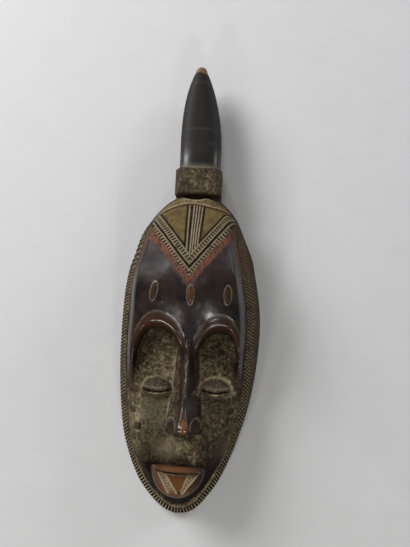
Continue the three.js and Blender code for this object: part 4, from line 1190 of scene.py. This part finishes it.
block_rings = [(up, BLOCK["neck"]) for up in (BLOCK["from"], 306, 310, BLOCK["neck_at"] - 1.2)]
block_rings += [(BLOCK["neck_at"] - 0.4, BLOCK["neck"] * 0.6), (BLOCK["neck_at"] + 0.6, 0.2)]
block_rings += [(up, 0.0) for up in np.linspace(BLOCK["neck_at"] + 1.6, BLOCK["to"] - 1.8, BLOCK["levels"])]
block_rings += [(BLOCK["to"] - 1.1, 0.25), (BLOCK["to"] - 0.45, 0.7), (BLOCK["to"], 1.6)]
block_mesh = lofted("block", [block_section(*ring) for ring in block_rings], block_finish)


def horn_section(t, sides=72):
    up = mix(HORN["from"], LENGTH, 1 - (1 - t) ** HORN["gathering"])
    taper = np.clip((up - HORN["widest_at"]) / (LENGTH + HORN["blunt"] - HORN["widest_at"]), 0, 1)
    half = HORN["half"] * (1 - taper ** HORN["curve"]) ** (1 / HORN["across"])
    left = LENGTH - up
    if left < HORN["cap"]:
        half = max(half * left / HORN["cap"], math.sqrt(left * (2 * HORN["cap"] - left)), 0.05)
    (base_x, base_up), (tip_x, tip_up) = HORN["base"], HORN["tip"]
    x = mix(base_x, tip_x, smooth(base_up, tip_up, up))
    share = (up - HORN["from"]) / (LENGTH - HORN["from"])
    z = HORN["height"] - HORN["backwards"] * math.sin(share * math.pi) + HORN["forwards"] * share ** 3
    angle = -2 * math.pi * (np.arange(sides) + 0.5) / sides
    power = 2 / mix(*HORN["square"], share ** 2)
    cos, sin = np.cos(angle), np.sin(angle)
    around_x = x + half * np.sign(cos) * np.abs(cos) ** power
    around_z = z + half * HORN["depth"] * np.sign(sin) * np.abs(sin) ** power
    return np.stack((around_x, np.full(sides, float(up)), around_z), 1)


def horn_finish(section):
    x, up, z = section.T
    tip = smooth(*WORN_TIP, up + 1.4 * waver(x, z, 4, 71))
    bow = HORN_RINGS["bow"] * (x - 2) ** 2
    rings = sum(bump(up - place - bow, HORN_RINGS["half"]) for place in HORN_RINGS["at"])
    dusty = bump(up - DUSTY_FOOT, 1.6) * smooth(22, 32, z)
    line = np.maximum(0.5 * dusty + 0.25 * tip, HORN_RINGS["dust"] * rings * (z > 30))
    return {"horn": 1 - tip, "wear": tip, "line": line, "crust": 0.25 * tip,
            "polish": 0.42 + 0.45 * bump(up - 350, 9)}


horn_mesh = lofted("horn", [horn_section(t) for t in np.linspace(0, 1, HORN["levels"])], horn_finish)

# Face, block and horn are made one solid, because they are one piece of wood. Only the square edges of
# the cuts stay sharp.
SHARP_DEGREES = 55

mask = bpy.data.objects.new("carved_mask", body.mesh("carved_mask"))
bpy.context.collection.objects.link(mask)
for part_mesh in (block_mesh, horn_mesh):
    part = bpy.data.objects.new(part_mesh.name, part_mesh)
    bpy.context.collection.objects.link(part)
    union = mask.modifiers.new("union", "BOOLEAN")
    union.operation = "UNION"
    union.solver = "MANIFOLD"
    union.object = part
    joined = bpy.data.meshes.new_from_object(mask.evaluated_get(bpy.context.evaluated_depsgraph_get()))
    mask.modifiers.remove(union)
    mask.data = joined
    bpy.data.objects.remove(part)
mask.data.name = "carved_mask"
mask.data.shade_smooth()
mask.data.set_sharp_from_angle(angle=math.radians(SHARP_DEGREES))

# Old hardwood, carved with a blade and polished by hands and oil: a brown-black skin with a soft
# shine, orange-brown where it has rubbed through, and a dry ochre crust of earth in the hollows. The
# real grain's pores are about 0.2 mm wide, and are drawn coarser so that they show.
PATTERNS = {
    "speck": (1.7, 2, 0.6, (1, 1, 1), 2.2), "fine": (3.2, 3, 0.65, (1, 1, 1), 0.0),
    "middling": (6.0, 4, 0.6, (1, 1, 1), 0.4), "broad": (16, 3, 0.5, (1, 1, 1), 0.8),
    "hue": (4.5, 2, 0.5, (1, 1, 1), 5.0), "grain": (1.1, 3, 0.6, (1, 0.12, 1), 3.1),
}  # each is its size in millimetres, its detail, roughness and stretch, and where it starts
UNEVENNESS = {"speck": 0.9, "fine": 1.4, "middling": 1.0, "broad": 0.35}
BARE_WOOD, BARE_LEVELS = ("#181110", "#30231d"), (0.38, 0.62)
OCHRE_PAINT, PAINT_LEVELS = ("#574a30", "#6f5f3d"), (0.35, 0.65)
# The dark colour below is both real dirt in grooves and painted shade, and the pale colour is both pale dust
# and the painted highlight and sheen.
HORN_WOOD, DIRT_AND_SHADE, PALE_DUST_AND_SHEEN = "#1c1a17", "#17110c", "#b0a180"
PRESENT_LEVELS, COVERED_LEVELS, DUST_LEVELS = (0.02, 0.22), (0.1, 0.5), (0.18, 0.5)
# Red earth, worn wood and crusted earth: how uneven each is, and the colours it takes as it thickens.
COATS = {
    "red": (0.6, (("#744b3c", 0.05, 1.05),)),
    "wear": (0.35, (("#452c1c", 0.05, 0.40), ("#80512a", 0.42, 0.95))),
    "crust": (1.0, (("#3a3024", 0.10, 0.40), ("#615640", 0.36, 0.72), ("#958b6e", 0.64, 1.02))),
}
CRUST_TINTS, TINT_STRENGTH = (("#4e4f35", 0.50, 0.66), ("#573a2b", 0.48, 0.34)), 0.4
DULLING, DIRT_AND_SHADE_DRYNESS = 0.6, 0.8
ROUGHNESS = {"bare": 0.78, "gloss": -0.61, "mottle": 0.12, "wear": -0.12}
SPECULAR = {"dull": 0.06, "gloss": 0.46}
RELIEF = {"grain": 0.20, "bare": 0.05, "dry": 0.6, "strength": 0.5, "metres": 0.0005}

wood, tree, output = new_material("polished_hardwood")
place = node(tree, "TexCoord").outputs["Object"]
eased, in_colour = {"interpolation_type": "SMOOTHSTEP"}, {"data_type": "RGBA"}

pattern = {}
for name, (size, detail, roughness, stretch, start) in PATTERNS.items():
    moved = node(tree, "Mapping", {"Vector": place, "Scale": stretch, "Location": (start, start * 0.7, 0)})
    pattern[name] = node(tree, "TexNoise", {
        "Vector": moved, "Scale": scale_of(size), "Detail": detail, "Roughness": roughness})
level = {name: node(tree, "Attribute", attribute_name=name).outputs["Fac"] for name in FINISHES}
unevenness = 0.0
for name, strength in UNEVENNESS.items():
    swing = node(tree, "Math", {0: pattern[name], 1: 0.5}, operation="SUBTRACT")
    unevenness = node(tree, "Math", {0: swing, 1: strength, 2: unevenness}, operation="MULTIPLY_ADD")

low, high = BARE_LEVELS
share = node(tree, "MapRange", {"Value": pattern["broad"], "From Min": low, "From Max": high}, **eased)
bare = node(tree, "Mix", {0: share, 6: linear(BARE_WOOD[0]), 7: linear(BARE_WOOD[1])}, **in_colour)
colour = node(tree, "Mix", {0: level["horn"], 6: bare.outputs[2], 7: linear(HORN_WOOD)}, **in_colour)
thickness = {}
for name, (strength, layers) in COATS.items():
    low, high = PRESENT_LEVELS
    present = node(tree, "MapRange", {"Value": level[name], "From Min": low, "From Max": high}, **eased)
    swing = node(tree, "Math", {0: unevenness, 1: strength}, operation="MULTIPLY")
    thickness[name] = node(tree, "Math", {0: swing, 1: present, 2: level[name]}, operation="MULTIPLY_ADD")
    for layer, low, high in layers:
        share = node(tree, "MapRange", {"Value": thickness[name], "From Min": low, "From Max": high}, **eased)
        colour = node(tree, "Mix", {0: share, 6: colour.outputs[2], 7: linear(layer)}, **in_colour)
low, high = COVERED_LEVELS
covered = node(tree, "MapRange", {"Value": thickness["crust"], "From Min": low, "From Max": high}, **eased)
for tint, low, high in CRUST_TINTS:
    share = node(tree, "MapRange", {"Value": pattern["hue"], "From Min": low, "From Max": high}, **eased)
    share = node(tree, "Math", {0: share, 1: covered}, operation="MULTIPLY")
    share = node(tree, "Math", {0: share, 1: TINT_STRENGTH}, operation="MULTIPLY")
    colour = node(tree, "Mix", {0: share, 6: colour.outputs[2], 7: linear(tint)}, **in_colour)

low, high = PAINT_LEVELS
share = node(tree, "MapRange", {"Value": pattern["middling"], "From Min": low, "From Max": high}, **eased)
paint = node(tree, "Mix", {0: share, 6: linear(OCHRE_PAINT[0]), 7: linear(OCHRE_PAINT[1])}, **in_colour)
low, high = DUST_LEVELS
broken = node(tree, "MapRange", {"Value": pattern["middling"], "From Min": low, "From Max": high}, **eased)
dust = node(tree, "Math", {0: level["line"], 1: broken}, operation="MULTIPLY")
# Ochre paint, then the darkening that is dirt and painted shade, then the pale that is dust and painted
# highlight and sheen.
for share, coat in ((level["panel"], paint.outputs[2]), (level["dark"], linear(DIRT_AND_SHADE)), (dust, linear(PALE_DUST_AND_SHEEN))):
    colour = node(tree, "Mix", {0: share, 6: colour.outputs[2], 7: coat}, **in_colour)

dry = covered
# Dirt and painted shade both dull the shine.
dirt_and_shade_amount = node(tree, "Math", {0: level["dark"], 1: DIRT_AND_SHADE_DRYNESS}, operation="MULTIPLY")
for coat in (level["panel"], dust, dirt_and_shade_amount):
    dry = node(tree, "Math", {0: dry, 1: coat}, operation="MAXIMUM")
shine = node(tree, "Math", {0: dry, 1: -DULLING, 2: 1.0}, operation="MULTIPLY_ADD")
gloss = node(tree, "Math", {0: level["polish"], 1: shine}, operation="MULTIPLY")
roughness = ROUGHNESS["bare"]
for source, change in ((gloss, "gloss"), (pattern["middling"], "mottle"), (level["wear"], "wear")):
    roughness = node(tree, "Math", {0: source, 1: ROUGHNESS[change], 2: roughness}, operation="MULTIPLY_ADD")
specular = node(tree, "Math", {0: gloss, 1: SPECULAR["gloss"], 2: SPECULAR["dull"]}, operation="MULTIPLY_ADD")

lumps = node(tree, "Math", {0: pattern["speck"], 1: pattern["fine"]}, operation="ADD")
raised = node(tree, "Math", {0: dry, 1: RELIEF["dry"], 2: RELIEF["bare"]}, operation="MULTIPLY_ADD")
lumps = node(tree, "Math", {0: lumps, 1: raised}, operation="MULTIPLY")
relief = node(tree, "Math", {0: pattern["grain"], 1: RELIEF["grain"], 2: lumps}, operation="MULTIPLY_ADD")
bumps = node(tree, "Bump", {"Height": relief, "Strength": RELIEF["strength"], "Distance": RELIEF["metres"]})
surface = node(tree, "BsdfPrincipled", {
    "Base Color": colour.outputs[2], "Roughness": roughness, "IOR": 1.5, "Normal": bumps,
    "Specular IOR Level": specular})
tree.links.new(surface.outputs[0], output.inputs[0])
mask.data.materials.clear()
mask.data.materials.append(wood)
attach(mask, "root")
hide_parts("mask")
